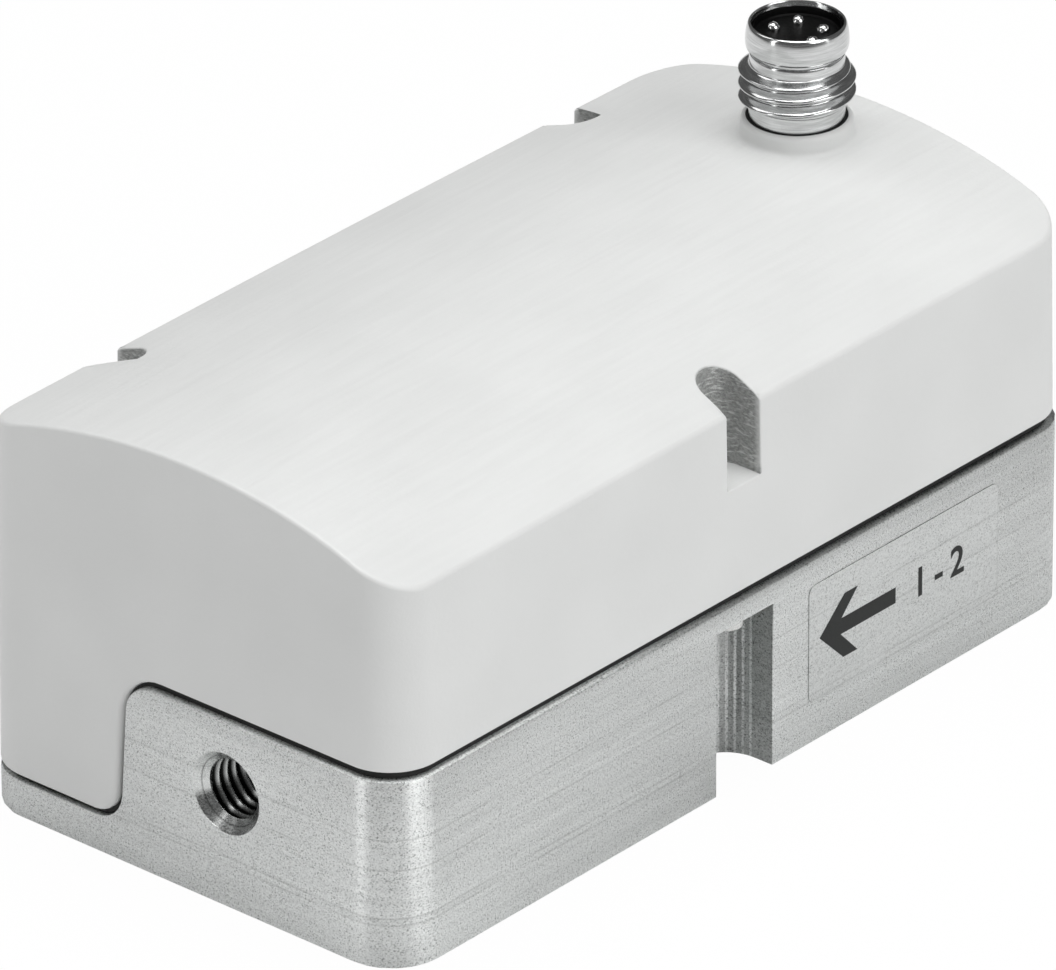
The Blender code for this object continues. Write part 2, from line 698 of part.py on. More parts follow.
def spacer_places():
    """Distances along the body of the two board spacers."""
    return (-HALF_LENGTH + SPACER_FROM_END, HALF_LENGTH - SPACER_FROM_END)


def boss_profile():
    """The connector's boss: a rounded top edge, a short side and a fillet into the arch."""
    top_edge = arc(BOSS_RADIUS - BOSS_EDGE, BOSS_TOP - BOSS_EDGE, BOSS_EDGE, 90.0, 0.0, steps=2)
    fillet_x = BOSS_RADIUS + BOSS_FILLET
    foot = arc(fillet_x, crown(fillet_x) + BOSS_FILLET, BOSS_FILLET, 180.0, 270.0, steps=4)
    inside = CROWN_HEIGHT - COVER_WALL / 2
    return [(0.0, BOSS_TOP)] + top_edge + foot + [(foot[-1][0], inside), (0.0, inside)]


def build_cover(builder):
    """The moulded cover: drafted arched shell with boss, screw columns, notches and stepped rim."""
    cover = arched_block("cover", 0.5, 0.0, COVER_EDGE)
    builder.join(cover, turned("cover_boss", boss_profile(), (0.0, CONNECTOR_Y, 0.0)))
    rim = step_line(SEAM_GAP_FLANGE, SEAM_GAP_STEP, SEAM_GAP_BLOCK, BODY_WIDTH)
    builder.cut(cover, stepped_solid("cover_rim", rim, 2.0, BODY_LENGTH + 4.0))
    cavity = arched_block("cover_cavity", -0.5, COVER_WALL, CAVITY_EDGE)
    for number, axis in enumerate(SCREW_AXES, start=1):
        column = bore(f"column_{number}", COVER_NOTCH_RADIUS + COLUMN_WALL, (*axis, -PAST),
                      (*axis, CROWN_HEIGHT + PAST), steps=24)
        builder.cut(cavity, column)
    builder.cut(cover, cavity)
    for number, axis in enumerate(SCREW_AXES, start=1):
        foot = FLANGE_HEIGHT if number > 1 else BLOCK_HEIGHT
        builder.cut(cover,
                    side_notch(f"cover_notch_{number}", axis, COVER_NOTCH_RADIUS, COVER_NOTCH_FLOOR,
                               CROWN_HEIGHT + PAST),
                    bore(f"cover_screw_hole_{number}", SCREW_SHANK_RADIUS + FINE_GAP, (*axis, foot - PAST),
                         (*axis, foot + SCREW_ENGAGEMENT + PAST)))
    seat = BOSS_TOP - RING_SEAT_DEPTH
    mouth = SHELL_FOOT_RADIUS + FINE_GAP
    hole = [(0.0, BOSS_TOP + PAST), (mouth + RING_SEAT_WIDTH, BOSS_TOP + PAST),
            (mouth + RING_SEAT_WIDTH, seat), (mouth, seat), (mouth, SHELL_FOOT_Z - PAST),
            (0.0, SHELL_FOOT_Z - PAST)]
    builder.cut(cover, turned("connector_hole", hole, (0.0, CONNECTOR_Y, 0.0)))
    return builder.add(cover, "cover_plastic")


def build_cover_seal(builder):
    """The gasket, a frame that follows the stepped seam just inside the cover's side."""
    clear = SEAL_CLEARANCE
    lower = step_line(clear, clear, clear, BODY_WIDTH)
    upper = step_line(SEAM_GAP_FLANGE - clear, SEAM_GAP_STEP - clear, SEAM_GAP_BLOCK - clear, BODY_WIDTH)
    outline = lower + list(reversed(upper))
    seal = prism("cover_seal", outline, -HALF_LENGTH - 2.0, HALF_LENGTH + 2.0, turn=(90.0, 0.0, 0.0))
    frame_top = BLOCK_HEIGHT + 3.0
    builder.keep(seal, prism("seal_outside", plan_outline(SEAL_RECESS), -PAST, frame_top))
    inside = plan_outline(SEAL_RECESS + SEAL_WIDTH)
    builder.cut(seal, prism("seal_inside", inside, -2 * PAST, frame_top + PAST))
    for number, axis in enumerate(SCREW_AXES, start=1):
        builder.cut(seal, bore(f"seal_hole_{number}", SCREW_SHANK_RADIUS + FINE_GAP, (*axis, -PAST),
                               (*axis, frame_top), steps=24))
    return builder.add(seal, "black_rubber")


def build_cover_screws(builder):
    """The three screws that hold the cover, put in from below."""
    for number, axis in enumerate(SCREW_AXES, start=1):
        under = BLOCK_HEIGHT - BASE_NOTCH_ROOF if number == 1 else FLANGE_HEIGHT - FLANGE_WEB
        seat = BLOCK_HEIGHT if number == 1 else FLANGE_HEIGHT
        head_top = under - FINE_GAP
        tip = seat + SCREW_ENGAGEMENT
        low = head_top - SCREW_HEAD_HEIGHT
        profile = [(0.0, tip), (SCREW_SHANK_RADIUS * 0.6, tip), (SCREW_SHANK_RADIUS, tip - 0.6),
                   (SCREW_SHANK_RADIUS, head_top), (SCREW_HEAD_RADIUS, head_top),
                   (SCREW_HEAD_RADIUS, low + 0.15), (SCREW_HEAD_RADIUS - 0.15, low),
                   (DRIVE_RADIUS, low), (DRIVE_RADIUS, low + DRIVE_DEPTH), (0.0, low + DRIVE_DEPTH)]
        screw = turned(f"cover_screw_{number}", profile, (*axis, 0.0), steps=SMALL_STEPS)
        builder.add(screw, "steel")


def screw_profile(head, shank_radius, shank):
    """A cheese-head screw with a round drive, its seat at zero and its shank going down."""
    head_radius, head_height = head
    return [(0.0, head_height - DRIVE_DEPTH), (DRIVE_RADIUS, head_height - DRIVE_DEPTH),
            (DRIVE_RADIUS, head_height), (head_radius - 0.15, head_height),
            (head_radius, head_height - 0.15), (head_radius, 0.0), (shank_radius, 0.0),
            (shank_radius, -shank + 0.4), (shank_radius * 0.6, -shank), (0.0, -shank)]


def build_flow_path(builder):
    """The inlet filter and the grooved flow element in the main bore."""
    reach = MAIN_BORE_RADIUS - SEAT_GAP
    y = HALF_LENGTH - PORT_THREAD_DEPTH - FILTER_FROM_THREAD
    filter_disc = cylinder("inlet_filter", reach, FILTER_THICKNESS, (PORT_X, y, PORT_HEIGHT),
                           turn=(90.0, 0.0, 0.0), steps=24)
    builder.add(filter_disc, "sintered_metal")
    outline = []
    steps = FLOW_ELEMENT_GROOVE_COUNT * 4
    for step in range(steps):
        radius = reach if step % 4 < 2 else reach - FLOW_ELEMENT_GROOVE_DEPTH
        angle = 2 * math.pi * step / steps
        outline.append((radius * math.cos(angle), radius * math.sin(angle)))
    element = prism("flow_element", outline, -FLOW_ELEMENT_LENGTH / 2, FLOW_ELEMENT_LENGTH / 2,
                    turn=(90.0, 0.0, 0.0))
    place(element, (PORT_X, SENSOR_Y, PORT_HEIGHT), (90.0, 0.0, 0.0))
    builder.add(element, "steel")


def build_sensor(builder):
    """The flow sensor: moulded body with its sensing duct, board, chip, rings and screws."""
    width, length, height = SENSOR_SIZE
    body = box("sensor_body", SENSOR_SIZE, (PORT_X, SENSOR_Y, BLOCK_SEAT + height / 2))
    duct_z = BLOCK_SEAT + SENSING_DUCT_RISE
    ends = [SENSOR_Y - TAP_SPACING / 2, SENSOR_Y + TAP_SPACING / 2]
    for number, y in enumerate(ends, start=1):
        builder.cut(body, bore(f"sensor_leg_{number}", TAP_RADIUS, (PORT_X, y, BLOCK_SEAT - PAST),
                               (PORT_X, y, duct_z + 1.5 * SENSING_DUCT_RADIUS), steps=12))
    builder.cut(body, bore("sensor_duct", SENSING_DUCT_RADIUS, (PORT_X, ends[0], duct_z),
                           (PORT_X, ends[1], duct_z), steps=12))
    for number, (x, y) in enumerate(sensor_screw_axes(), start=1):
        builder.cut(body, bore(f"sensor_hole_{number}", SMALL_SCREW_RADIUS + HOLE_GAP,
                               (x, y, BLOCK_SEAT - PAST), (x, y, SENSOR_TOP_Z + PAST), steps=12))
        profile = screw_profile(SMALL_SCREW_HEAD, SMALL_SCREW_RADIUS,
                                SENSOR_TOP_Z + FINE_GAP - BLOCK_HEIGHT + SMALL_SCREW_BITE)
        screw = turned(f"sensor_screw_{number}", profile, (x, y, SENSOR_TOP_Z + FINE_GAP), steps=12)
        builder.add(screw, "steel")
    builder.add(body, "sensor_plastic")
    board_z = SENSOR_BOARD_Z + SENSOR_BOARD_SIZE[2] / 2
    board = box("sensor_board", SENSOR_BOARD_SIZE, (PORT_X, SENSOR_Y, board_z))
    builder.add(board, "circuit_board")
    chip_z = SENSOR_BOARD_Z + SENSOR_BOARD_SIZE[2] + FINE_GAP + SENSOR_CHIP_SIZE[2] / 2
    builder.add(box("sensor_chip", SENSOR_CHIP_SIZE, (PORT_X, SENSOR_Y, chip_z)), "black_plastic")
    for number, y in enumerate(ends, start=1):
        seal_z = BLOCK_HEIGHT - RING_WIRE_RADIUS
        seal = ring(f"sensor_seal_{number}", TAP_RING_RADIUS, RING_WIRE_RADIUS, (PORT_X, y, seal_z))
        builder.add(seal, "black_rubber")


def build_valve(builder):
    """The proportional valve: sealed can on a flange, coil, yoke, nut, rings and screws."""
    width, length, thickness = VALVE_FLANGE_SIZE
    flange_z = BLOCK_SEAT + thickness / 2
    can = box("valve_cartridge", VALVE_FLANGE_SIZE, (PORT_X, VALVE_Y, flange_z))
    ring_room = 2 * RING_WIRE_RADIUS + 2 * FINE_GAP
    spigot_foot = POCKET_FLOOR + ring_room
    tip = VALVE_STUD_RADIUS - STUD_CHAMFER
    profile = [(0.0, STUD_TOP_Z), (tip, STUD_TOP_Z), (VALVE_STUD_RADIUS, STUD_TOP_Z - STUD_CHAMFER),
               (VALVE_STUD_RADIUS, STEM_TOP_Z), (VALVE_STEM_RADIUS, STEM_TOP_Z),
               (VALVE_STEM_RADIUS, flange_z),
               (VALVE_SPIGOT_RADIUS, flange_z), (VALVE_SPIGOT_RADIUS, spigot_foot), (0.0, spigot_foot)]
    builder.join(can, turned("valve_can", profile, (PORT_X, VALVE_Y, 0.0)))
    builder.cut(can, bore("valve_orifice", VALVE_OUTLET_RADIUS, (PORT_X, VALVE_Y, POCKET_FLOOR),
                          (PORT_X, VALVE_Y, flange_z)))
    for number, (x, y) in enumerate(valve_screw_axes(), start=1):
        builder.cut(can, bore(f"valve_hole_{number}", SMALL_SCREW_RADIUS + HOLE_GAP,
                              (x, y, BLOCK_SEAT - PAST), (x, y, FLANGE_TOP_Z + PAST), steps=12))
        profile = screw_profile(SMALL_SCREW_HEAD, SMALL_SCREW_RADIUS,
                                FLANGE_TOP_Z + FINE_GAP - BLOCK_HEIGHT + SMALL_SCREW_BITE)
        screw = turned(f"valve_screw_{number}", profile, (x, y, FLANGE_TOP_Z + FINE_GAP), steps=12)
        builder.add(screw, "steel")
    builder.add(can, "steel")
    inner = VALVE_STEM_RADIUS + SEAT_GAP
    top, low = COIL_HEIGHT, 0.0
    coil_profile = [(inner, top), (BOBBIN_RADIUS, top), (BOBBIN_RADIUS, top - BOBBIN_LIP),
                    (COIL_RADIUS, top - BOBBIN_LIP), (COIL_RADIUS, low + BOBBIN_LIP),
                    (BOBBIN_RADIUS, low + BOBBIN_LIP), (BOBBIN_RADIUS, low), (inner, low)]
    coil = turned("valve_coil", coil_profile, (PORT_X, VALVE_Y, COIL_Z), steps=24, closed=True)
    builder.add(coil, "copper_winding")
    build_yoke(builder, inner)
    for name, radius in (("valve_seal_outer", OUTER_RING_RADIUS), ("valve_seal_inner", INNER_RING_RADIUS)):
        seal_z = POCKET_FLOOR + FINE_GAP + RING_WIRE_RADIUS
        seal = ring(name, radius, RING_WIRE_RADIUS, (PORT_X, VALVE_Y, seal_z), steps=24)
        builder.add(seal, "black_rubber")


def build_yoke(builder, hole_radius):
    """The valve's magnetic frame round the coil, and the nut on top of it."""
    half = BOBBIN_RADIUS + SEAT_GAP
    outer, inner = half + YOKE_SHEET, half
    side = rounded(((-outer, 0.0, 0.8), (outer, 0.0, 0.8), (outer, YOKE_HEIGHT, 0.8),
                    (-outer, YOKE_HEIGHT, 0.8)), steps=2)
    yoke = prism("valve_yoke", side, -YOKE_WIDTH / 2, YOKE_WIDTH / 2)
    place(yoke, (PORT_X, VALVE_Y, YOKE_Z), (90.0, 0.0, 0.0))
    window_height = YOKE_HEIGHT - 2 * YOKE_SHEET
    window = box("yoke_window", (2 * inner, YOKE_WIDTH + 2.0, window_height),
                 (PORT_X, VALVE_Y, YOKE_Z + YOKE_HEIGHT / 2))
    builder.cut(yoke, window, bore("yoke_hole", hole_radius, (PORT_X, VALVE_Y, YOKE_Z - PAST),
                                   (PORT_X, VALVE_Y, NUT_Z), steps=24))
    builder.add(yoke, "steel")
    nut = cylinder("valve_nut", VALVE_NUT_RADIUS, VALVE_NUT_HEIGHT, (PORT_X, VALVE_Y, NUT_Z), steps=6)
    builder.cut(nut, bore("nut_thread", VALVE_STUD_RADIUS + FINE_GAP, (PORT_X, VALVE_Y, NUT_Z - PAST),
                          (PORT_X, VALVE_Y, NUT_Z + VALVE_NUT_HEIGHT + PAST)))
    builder.add(nut, "steel")


def build_connector(builder):
    """The M8 plug: shell, insert, pins and the ring at its foot."""
    thread_top = BOSS_TOP + THREAD_START + THREAD_RUN
    thread_foot = thread_top - THREAD_RUN
    groove = thread_top + GROOVE_RISE
    groove_top = groove + GROOVE_WIDTH
    groove_radius = SHELL_NECK_RADIUS - GROOVE_DEPTH
    shoulder = INSERT_FACE_Z - INSERT_HEAD - FINE_GAP
    chamfer_width, chamfer_depth = SHELL_MOUTH_CHAMFER
    crowned = SHELL_COLLAR_RADIUS - COLLAR_CROWNING
    profile = [(SHELL_MOUTH_RADIUS, RIM_Z - chamfer_depth), (SHELL_MOUTH_RADIUS + chamfer_width, RIM_Z),
               (SHELL_RIM_RADIUS, RIM_Z), (crowned, RIM_Z - COLLAR_DROPS[0]),
               (SHELL_COLLAR_RADIUS, RIM_Z - COLLAR_DROPS[1]), (crowned, RIM_Z - COLLAR_DROPS[2]),
               (SHELL_RIM_RADIUS, groove_top + GROOVE_LIP), (groove_radius, groove_top),
               (groove_radius, groove), (SHELL_NECK_RADIUS, groove - GROOVE_LIP),
               (SHELL_NECK_RADIUS, thread_top + THREAD_LEAD_OUT),
               (THREAD_RADIUS, thread_top - THREAD_CHAMFER_TOP),
               (THREAD_RADIUS, thread_foot + THREAD_CHAMFER_FOOT), (SHELL_FOOT_RADIUS, thread_foot),
               (SHELL_FOOT_RADIUS, SHELL_FOOT_Z), (SHELL_BORE_RADIUS, SHELL_FOOT_Z),
               (SHELL_BORE_RADIUS, shoulder), (SHELL_MOUTH_RADIUS, shoulder)]
    shell = turned("connector_shell", profile, (0.0, CONNECTOR_Y, 0.0), closed=True)
    builder.add(shell, "nickel_plate")
    head = SHELL_MOUTH_RADIUS - FINE_GAP
    body = SHELL_BORE_RADIUS - FINE_GAP
    insert_profile = [(0.0, INSERT_FACE_Z), (head, INSERT_FACE_Z), (head, INSERT_FACE_Z - INSERT_HEAD),
                      (body, INSERT_FACE_Z - INSERT_HEAD), (body, INSERT_FOOT_Z), (0.0, INSERT_FOOT_Z)]
    insert = turned("connector_insert", insert_profile, (0.0, CONNECTOR_Y, 0.0))
    pin_foot = INSERT_FOOT_Z - PIN_TAIL
    dome = arc(0.0, INSERT_FACE_Z, PIN_RADIUS, 90.0, 0.0, steps=3)
    pin_profile = dome + [(PIN_RADIUS, pin_foot + PIN_POINT), (PIN_RADIUS - PIN_POINT, pin_foot),
                          (0.0, pin_foot)]
    board_z = CONNECTOR_BOARD_TOP - CONNECTOR_BOARD_SIZE[2] / 2
    board = box("connector_board", CONNECTOR_BOARD_SIZE, (0.0, CONNECTOR_Y, board_z))
    for number, angle in enumerate(PIN_ANGLES, start=1):
        x = PIN_CIRCLE * math.cos(math.radians(angle))
        y = CONNECTOR_Y + PIN_CIRCLE * math.sin(math.radians(angle))
        builder.cut(insert, bore(f"pin_hole_{number}", PIN_RADIUS + FINE_GAP, (x, y, INSERT_FOOT_Z - PAST),
                                 (x, y, INSERT_FACE_Z + PAST), steps=12))
        builder.cut(board, bore(f"board_pin_hole_{number}", PIN_RADIUS + FINE_GAP,
                                (x, y, board_z - 2 * PAST), (x, y, board_z + 2 * PAST), steps=12))
        builder.add(turned(f"contact_pin_{number}", pin_profile, (x, y, 0.0), steps=12), "pin_plate")
    builder.add(insert, "black_plastic")
    builder.add(board, "circuit_board")
    low, high = BOSS_TOP - RING_SEAT_DEPTH + RING_CLEARANCE, BOSS_TOP + RING_STAND
    inner = SHELL_FOOT_RADIUS + RING_CLEARANCE
    outer = SHELL_FOOT_RADIUS + FINE_GAP + RING_SEAT_WIDTH - RING_CLEARANCE
    seal_profile = [(inner, high - 0.05), (inner + 0.05, high), (outer - 0.05, high), (outer, high - 0.05),
                    (outer, low), (inner, low)]
    seal = turned("connector_seal", seal_profile, (0.0, CONNECTOR_Y, 0.0), closed=True)
    builder.add(seal, "black_rubber")


def flex_strip(name, start, end, y):
    """A flat cable that rises in an S bend, a sheet thickened by Solidify."""
    points = []
    for step in range(FLEX_STEPS + 1):
        share = step / FLEX_STEPS
        x = start[0] + (end[0] - start[0]) * share
        z = start[1] + (end[1] - start[1]) * share * share * (3.0 - 2.0 * share)
        points += [(x * MM, -FLEX_WIDTH / 2 * MM, z * MM), (x * MM, FLEX_WIDTH / 2 * MM, z * MM)]
    faces = [(2 * step, 2 * step + 2, 2 * step + 3, 2 * step + 1) for step in range(FLEX_STEPS)]
    mesh = bpy.data.meshes.new(name)
    mesh.from_pydata(points, [], faces)
    strip = bpy.data.objects.new(name, mesh)
    solidify = strip.modifiers.new("thickness", "SOLIDIFY")
    solidify.thickness = FLEX_THICKNESS * MM
    solidify.offset = 0.0
    solidify.use_even_offset = True
    return place(strip, (0.0, y, 0.0))


def build_electronics(builder):
    """The main board with its parts, spacers and screws, and the flat cables to it."""
    length = BODY_LENGTH - 2 * BOARD_END_MARGIN
    height = BOARD_TOP - BOARD_FOOT
    board = box("main_board", (BOARD_THICKNESS, length, height),
                (BOARD_X - BOARD_THICKNESS / 2, 0.0, BOARD_FOOT + height / 2))
    left_face = BOARD_X - BOARD_THICKNESS
    for number, y in enumerate(spacer_places(), start=1):
        hole = BOARD_SCREW_RADIUS + HOLE_GAP
        face = step_face(SPACER_HEIGHT - SPACER_RADIUS)
        builder.cut(board, bore(f"spacer_hole_{number}", hole, (left_face - PAST, y, SPACER_HEIGHT),
                                (BOARD_X + PAST, y, SPACER_HEIGHT), steps=12))
        spacer = cylinder(f"board_spacer_{number}", SPACER_RADIUS, face - BOARD_X - 2 * FINE_GAP,
                          (BOARD_X + FINE_GAP, y, SPACER_HEIGHT), turn=(0.0, 90.0, 0.0), steps=6)
        builder.cut(spacer, bore(f"spacer_bore_{number}", hole, (BOARD_X - PAST, y, SPACER_HEIGHT),
                                 (face + PAST, y, SPACER_HEIGHT), steps=12))
        builder.add(spacer, "steel")
        shank = step_face(SPACER_HEIGHT) + BOARD_SCREW_BITE - left_face
        screw = turned(f"board_screw_{number}", screw_profile(BOARD_SCREW_HEAD, BOARD_SCREW_RADIUS, shank),
                       (left_face - FINE_GAP, y, SPACER_HEIGHT), steps=12)
        screw.rotation_euler = (0.0, math.radians(-90.0), 0.0)
        builder.add(screw, "steel")
    builder.add(board, "circuit_board")
    chip_x = left_face - FINE_GAP - CHIP_SIZE[0] / 2
    builder.add(box("controller_chip", CHIP_SIZE, (chip_x, 0.0, CHIP_HEIGHT)), "black_plastic")
    for number, (y, z) in enumerate(CAPACITOR_PLACES, start=1):
        can = cylinder(f"capacitor_{number}", CAPACITOR_RADIUS, CAPACITOR_LENGTH,
                       (left_face - FINE_GAP, y, z), turn=(0.0, -90.0, 0.0), steps=SMALL_STEPS)
        builder.add(can, "steel")
    header_z = BOARD_TOP - HEADER_DROP
    header_x = BOARD_X + FINE_GAP + HEADER_SIZE[0] / 2
    header_face = BOARD_X + FINE_GAP + HEADER_SIZE[0]
    for number, y in enumerate((CONNECTOR_Y, SENSOR_Y), start=1):
        builder.add(box(f"board_header_{number}", HEADER_SIZE, (header_x, y, header_z)), "sensor_plastic")
    connector_edge = -CONNECTOR_BOARD_SIZE[0] / 2 - FINE_GAP
    flex_z = CONNECTOR_BOARD_TOP - CONNECTOR_BOARD_SIZE[2] / 2
    builder.add(flex_strip("connector_flex", (header_face + FINE_GAP, header_z), (connector_edge, flex_z),
                           CONNECTOR_Y), "polyimide")
    sensor_edge = PORT_X - SENSOR_BOARD_SIZE[0] / 2 - FINE_GAP
    sensor_z = SENSOR_BOARD_Z + SENSOR_BOARD_SIZE[2] / 2
    builder.add(flex_strip("sensor_flex", (header_face + FINE_GAP, header_z), (sensor_edge, sensor_z),
                           SENSOR_Y), "polyimide")


def main():
    """Builds the whole object."""
    clear_scene()
    builder = Builder()
    build_base(builder)
    build_cover(builder)
    build_cover_seal(builder)
    build_cover_screws(builder)
    build_flow_path(builder)
    build_sensor(builder)
    build_valve(builder)
    build_connector(builder)
    build_electronics(builder)
    bpy.context.view_layer.update()


main()
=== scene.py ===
"""Looks of a small inline gas mass flow controller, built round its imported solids.

Sizes are in millimetres in the object's own frame: Z up from the underside, Y along the body from
the outlet at -Y to the inlet at +Y, X towards the side with the flow arrow. A mesh is turned to
metres as it is made.
"""
import logging
import math
from dataclasses import dataclass, field
from enum import Enum
from typing import Optional, Union

import bmesh
import bpy
import numpy as np
from mathutils import Matrix, Vector


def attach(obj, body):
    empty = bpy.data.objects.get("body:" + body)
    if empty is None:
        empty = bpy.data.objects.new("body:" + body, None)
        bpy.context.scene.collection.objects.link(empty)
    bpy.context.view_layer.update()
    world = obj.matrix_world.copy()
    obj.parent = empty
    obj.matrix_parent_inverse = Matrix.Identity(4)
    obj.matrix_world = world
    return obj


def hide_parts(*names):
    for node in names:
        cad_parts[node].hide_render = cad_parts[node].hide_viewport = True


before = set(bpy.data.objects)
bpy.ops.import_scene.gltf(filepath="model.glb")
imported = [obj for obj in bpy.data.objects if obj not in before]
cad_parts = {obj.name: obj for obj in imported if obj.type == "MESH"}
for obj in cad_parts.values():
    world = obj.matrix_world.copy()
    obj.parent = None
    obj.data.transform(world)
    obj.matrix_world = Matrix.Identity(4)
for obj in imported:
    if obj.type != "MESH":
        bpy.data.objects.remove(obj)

log = logging.getLogger("mass_flow_controller")

MM = 0.001
FULL_TURN = 2 * np.pi
Array = np.ndarray
Values = Union[float, np.ndarray]
Triple = tuple[float, float, float]
Colour = tuple[float, float, float, float]
Tree = bpy.types.NodeTree
Socket = bpy.types.NodeSocket
SocketValue = Union[float, Triple, Colour, Socket]
Layers = tuple[Socket, Socket, Socket]
Piece = bpy.types.Object


# Colour and node helpers


def srgb(code: str) -> Colour:
    """Turns an sRGB hex colour into the linear values that a shader reads.

    Args:
        code: the colour as #rrggbb.

    Returns:
        Red, green, blue and alpha, linear.
    """
    values = np.array([int(code[start:start + 2], 16) for start in (1, 3, 5)]) / 255.0
    linear = np.where(values <= 0.04045, values / 12.92, ((values + 0.055) / 1.055) ** 2.4)
    return float(linear[0]), float(linear[1]), float(linear[2]), 1.0


def add_node(tree: Tree, kind: str, inputs: Optional[dict[Union[str, int], SocketValue]] = None,
             output: Union[str, int] = 0, **settings) -> Optional[Socket]:
    """Adds a node with its settings, and sets or links its inputs.

    Args:
        tree: the node tree.
        kind: Blender's name for the node, after the word ShaderNode.
        inputs: input name or number, with the value or the output socket that goes into it.
        output: the name or number of the output that is wanted.
        settings: node properties by name.

    Returns:
        That output's socket, or None where the node has no outputs.
    """
    node = tree.nodes.new(f"ShaderNode{kind}")
    for name, value in settings.items():
        setattr(node, name, value)
    for key, value in (inputs or {}).items():
        if isinstance(value, Socket):
            tree.links.new(value, node.inputs[key])
        else:
            node.inputs[key].default_value = value
    return node.outputs[output] if node.outputs else None


# Finishes


@dataclass(frozen=True)
class Finish:
    """A real material: its colours, its grain and its gloss.

    The grain is a noise in object coordinates whose size is given in millimetres. It drifts the
    colour between a dark and a light value, moves the roughness, and lifts the surface.
    """

    name: str
    dark: str
    light: str
    grain_mm: float
    roughness: tuple[float, float]
    relief_mm: float = 0.0
    stretch: Triple = (1.0, 1.0, 1.0)
    metallic: float = 0.0
    anisotropy: float = 0.0
    coat: float = 0.0
    specular: float = 0.5

    def make(self) -> bpy.types.Material:
        """Builds the material, or returns it where it has been built.

        Returns:
            The material with its nodes.
        """
        if self.name in bpy.data.materials:
            return bpy.data.materials[self.name]
        material = bpy.data.materials.new(self.name)
        material.use_nodes = True
        tree = material.node_tree
        tree.nodes.clear()
        colour, rough, height = self.pattern(tree, add_node(tree, "TexCoord", output="Object"))
        inputs = {"Base Color": colour, "Roughness": rough, "Metallic": self.metallic,
                  "Anisotropic": self.anisotropy, "Specular IOR Level": self.specular,
                  "Coat Weight": self.coat, "Coat Roughness": 0.12}
        if self.relief_mm > 0.0:
            inputs["Normal"] = add_node(tree, "Bump", {
                "Height": height, "Distance": self.relief_mm * MM, "Strength": 1.0})
        if self.anisotropy > 0.0:
            # The cutter's marks run round the body, so the gloss spreads up and down.
            inputs["Tangent"] = add_node(tree, "Tangent", direction_type="RADIAL", axis="Z")
            inputs["Anisotropic Rotation"] = 0.25
        add_node(tree, "OutputMaterial", {"Surface": add_node(tree, "BsdfPrincipled", inputs)})
        return material

    def rough(self, tree: Tree, grain: Socket) -> Socket:
        """The roughness, which the grain moves."""
        return add_node(tree, "MapRange", {0: grain, 1: 0.3, 2: 0.7, 3: self.roughness[0],
                                           4: self.roughness[1]})

    def grain(self, tree: Tree, where: Socket, size_mm: float,
              stretch: Triple = (1.0, 1.0, 1.0), detail: float = 3.0) -> Socket:
        """Noise with grains of a real size, longer along the axes whose stretch is small.

        Args:
            tree: the material's nodes.
            where: object coordinates in metres.
            size_mm: the size of one grain.
            stretch: scale along each axis before the noise is read.
            detail: how many finer octaves the noise has.

        Returns:
            The noise's value, about 0.3 to 0.7.
        """
        mapped = add_node(tree, "Mapping", {"Vector": where, "Scale": stretch})
        return add_node(tree, "TexNoise", {"Vector": mapped, "Scale": 1.0 / (size_mm * MM),
                                           "Detail": detail, "Roughness": 0.55}, "Fac")

    def total(self, tree: Tree, *shares: tuple[Socket, float]) -> Socket:
        """Adds values up, each times its own weight.

        Args:
            tree: the material's nodes.
            shares: pairs of a value and its weight.

        Returns:
            The sum.
        """
        result: SocketValue = 0.0
        for value, weight in shares:
            result = add_node(tree, "Math", {0: value, 1: weight, 2: result},
                              operation="MULTIPLY_ADD")
        return result

    def layered(self, tree: Tree, *layers: tuple[Socket, str]) -> Socket:
        """Lays colours over the dark one, each by its own share.

        Args:
            tree: the material's nodes.
            layers: pairs of a share and a colour code.

        Returns:
            The mixed colour.
        """
        colour: SocketValue = srgb(self.dark)
        for share, code in layers:
            colour = add_node(tree, "Mix", {0: share, 6: colour, 7: srgb(code)}, 2,
                              data_type="RGBA")
        return colour

    def pattern(self, tree: Tree, where: Socket) -> Layers:
        """Works out the material's colour, roughness and height from its grain.

        Args:
            tree: the material's nodes.
            where: object coordinates in metres.

        Returns:
            The three layers.
        """
        grain = self.grain(tree, where, self.grain_mm, self.stretch)
        share = add_node(tree, "MapRange", {0: grain, 1: 0.32, 2: 0.68})
        return self.layered(tree, (share, self.light)), self.rough(tree, grain), share


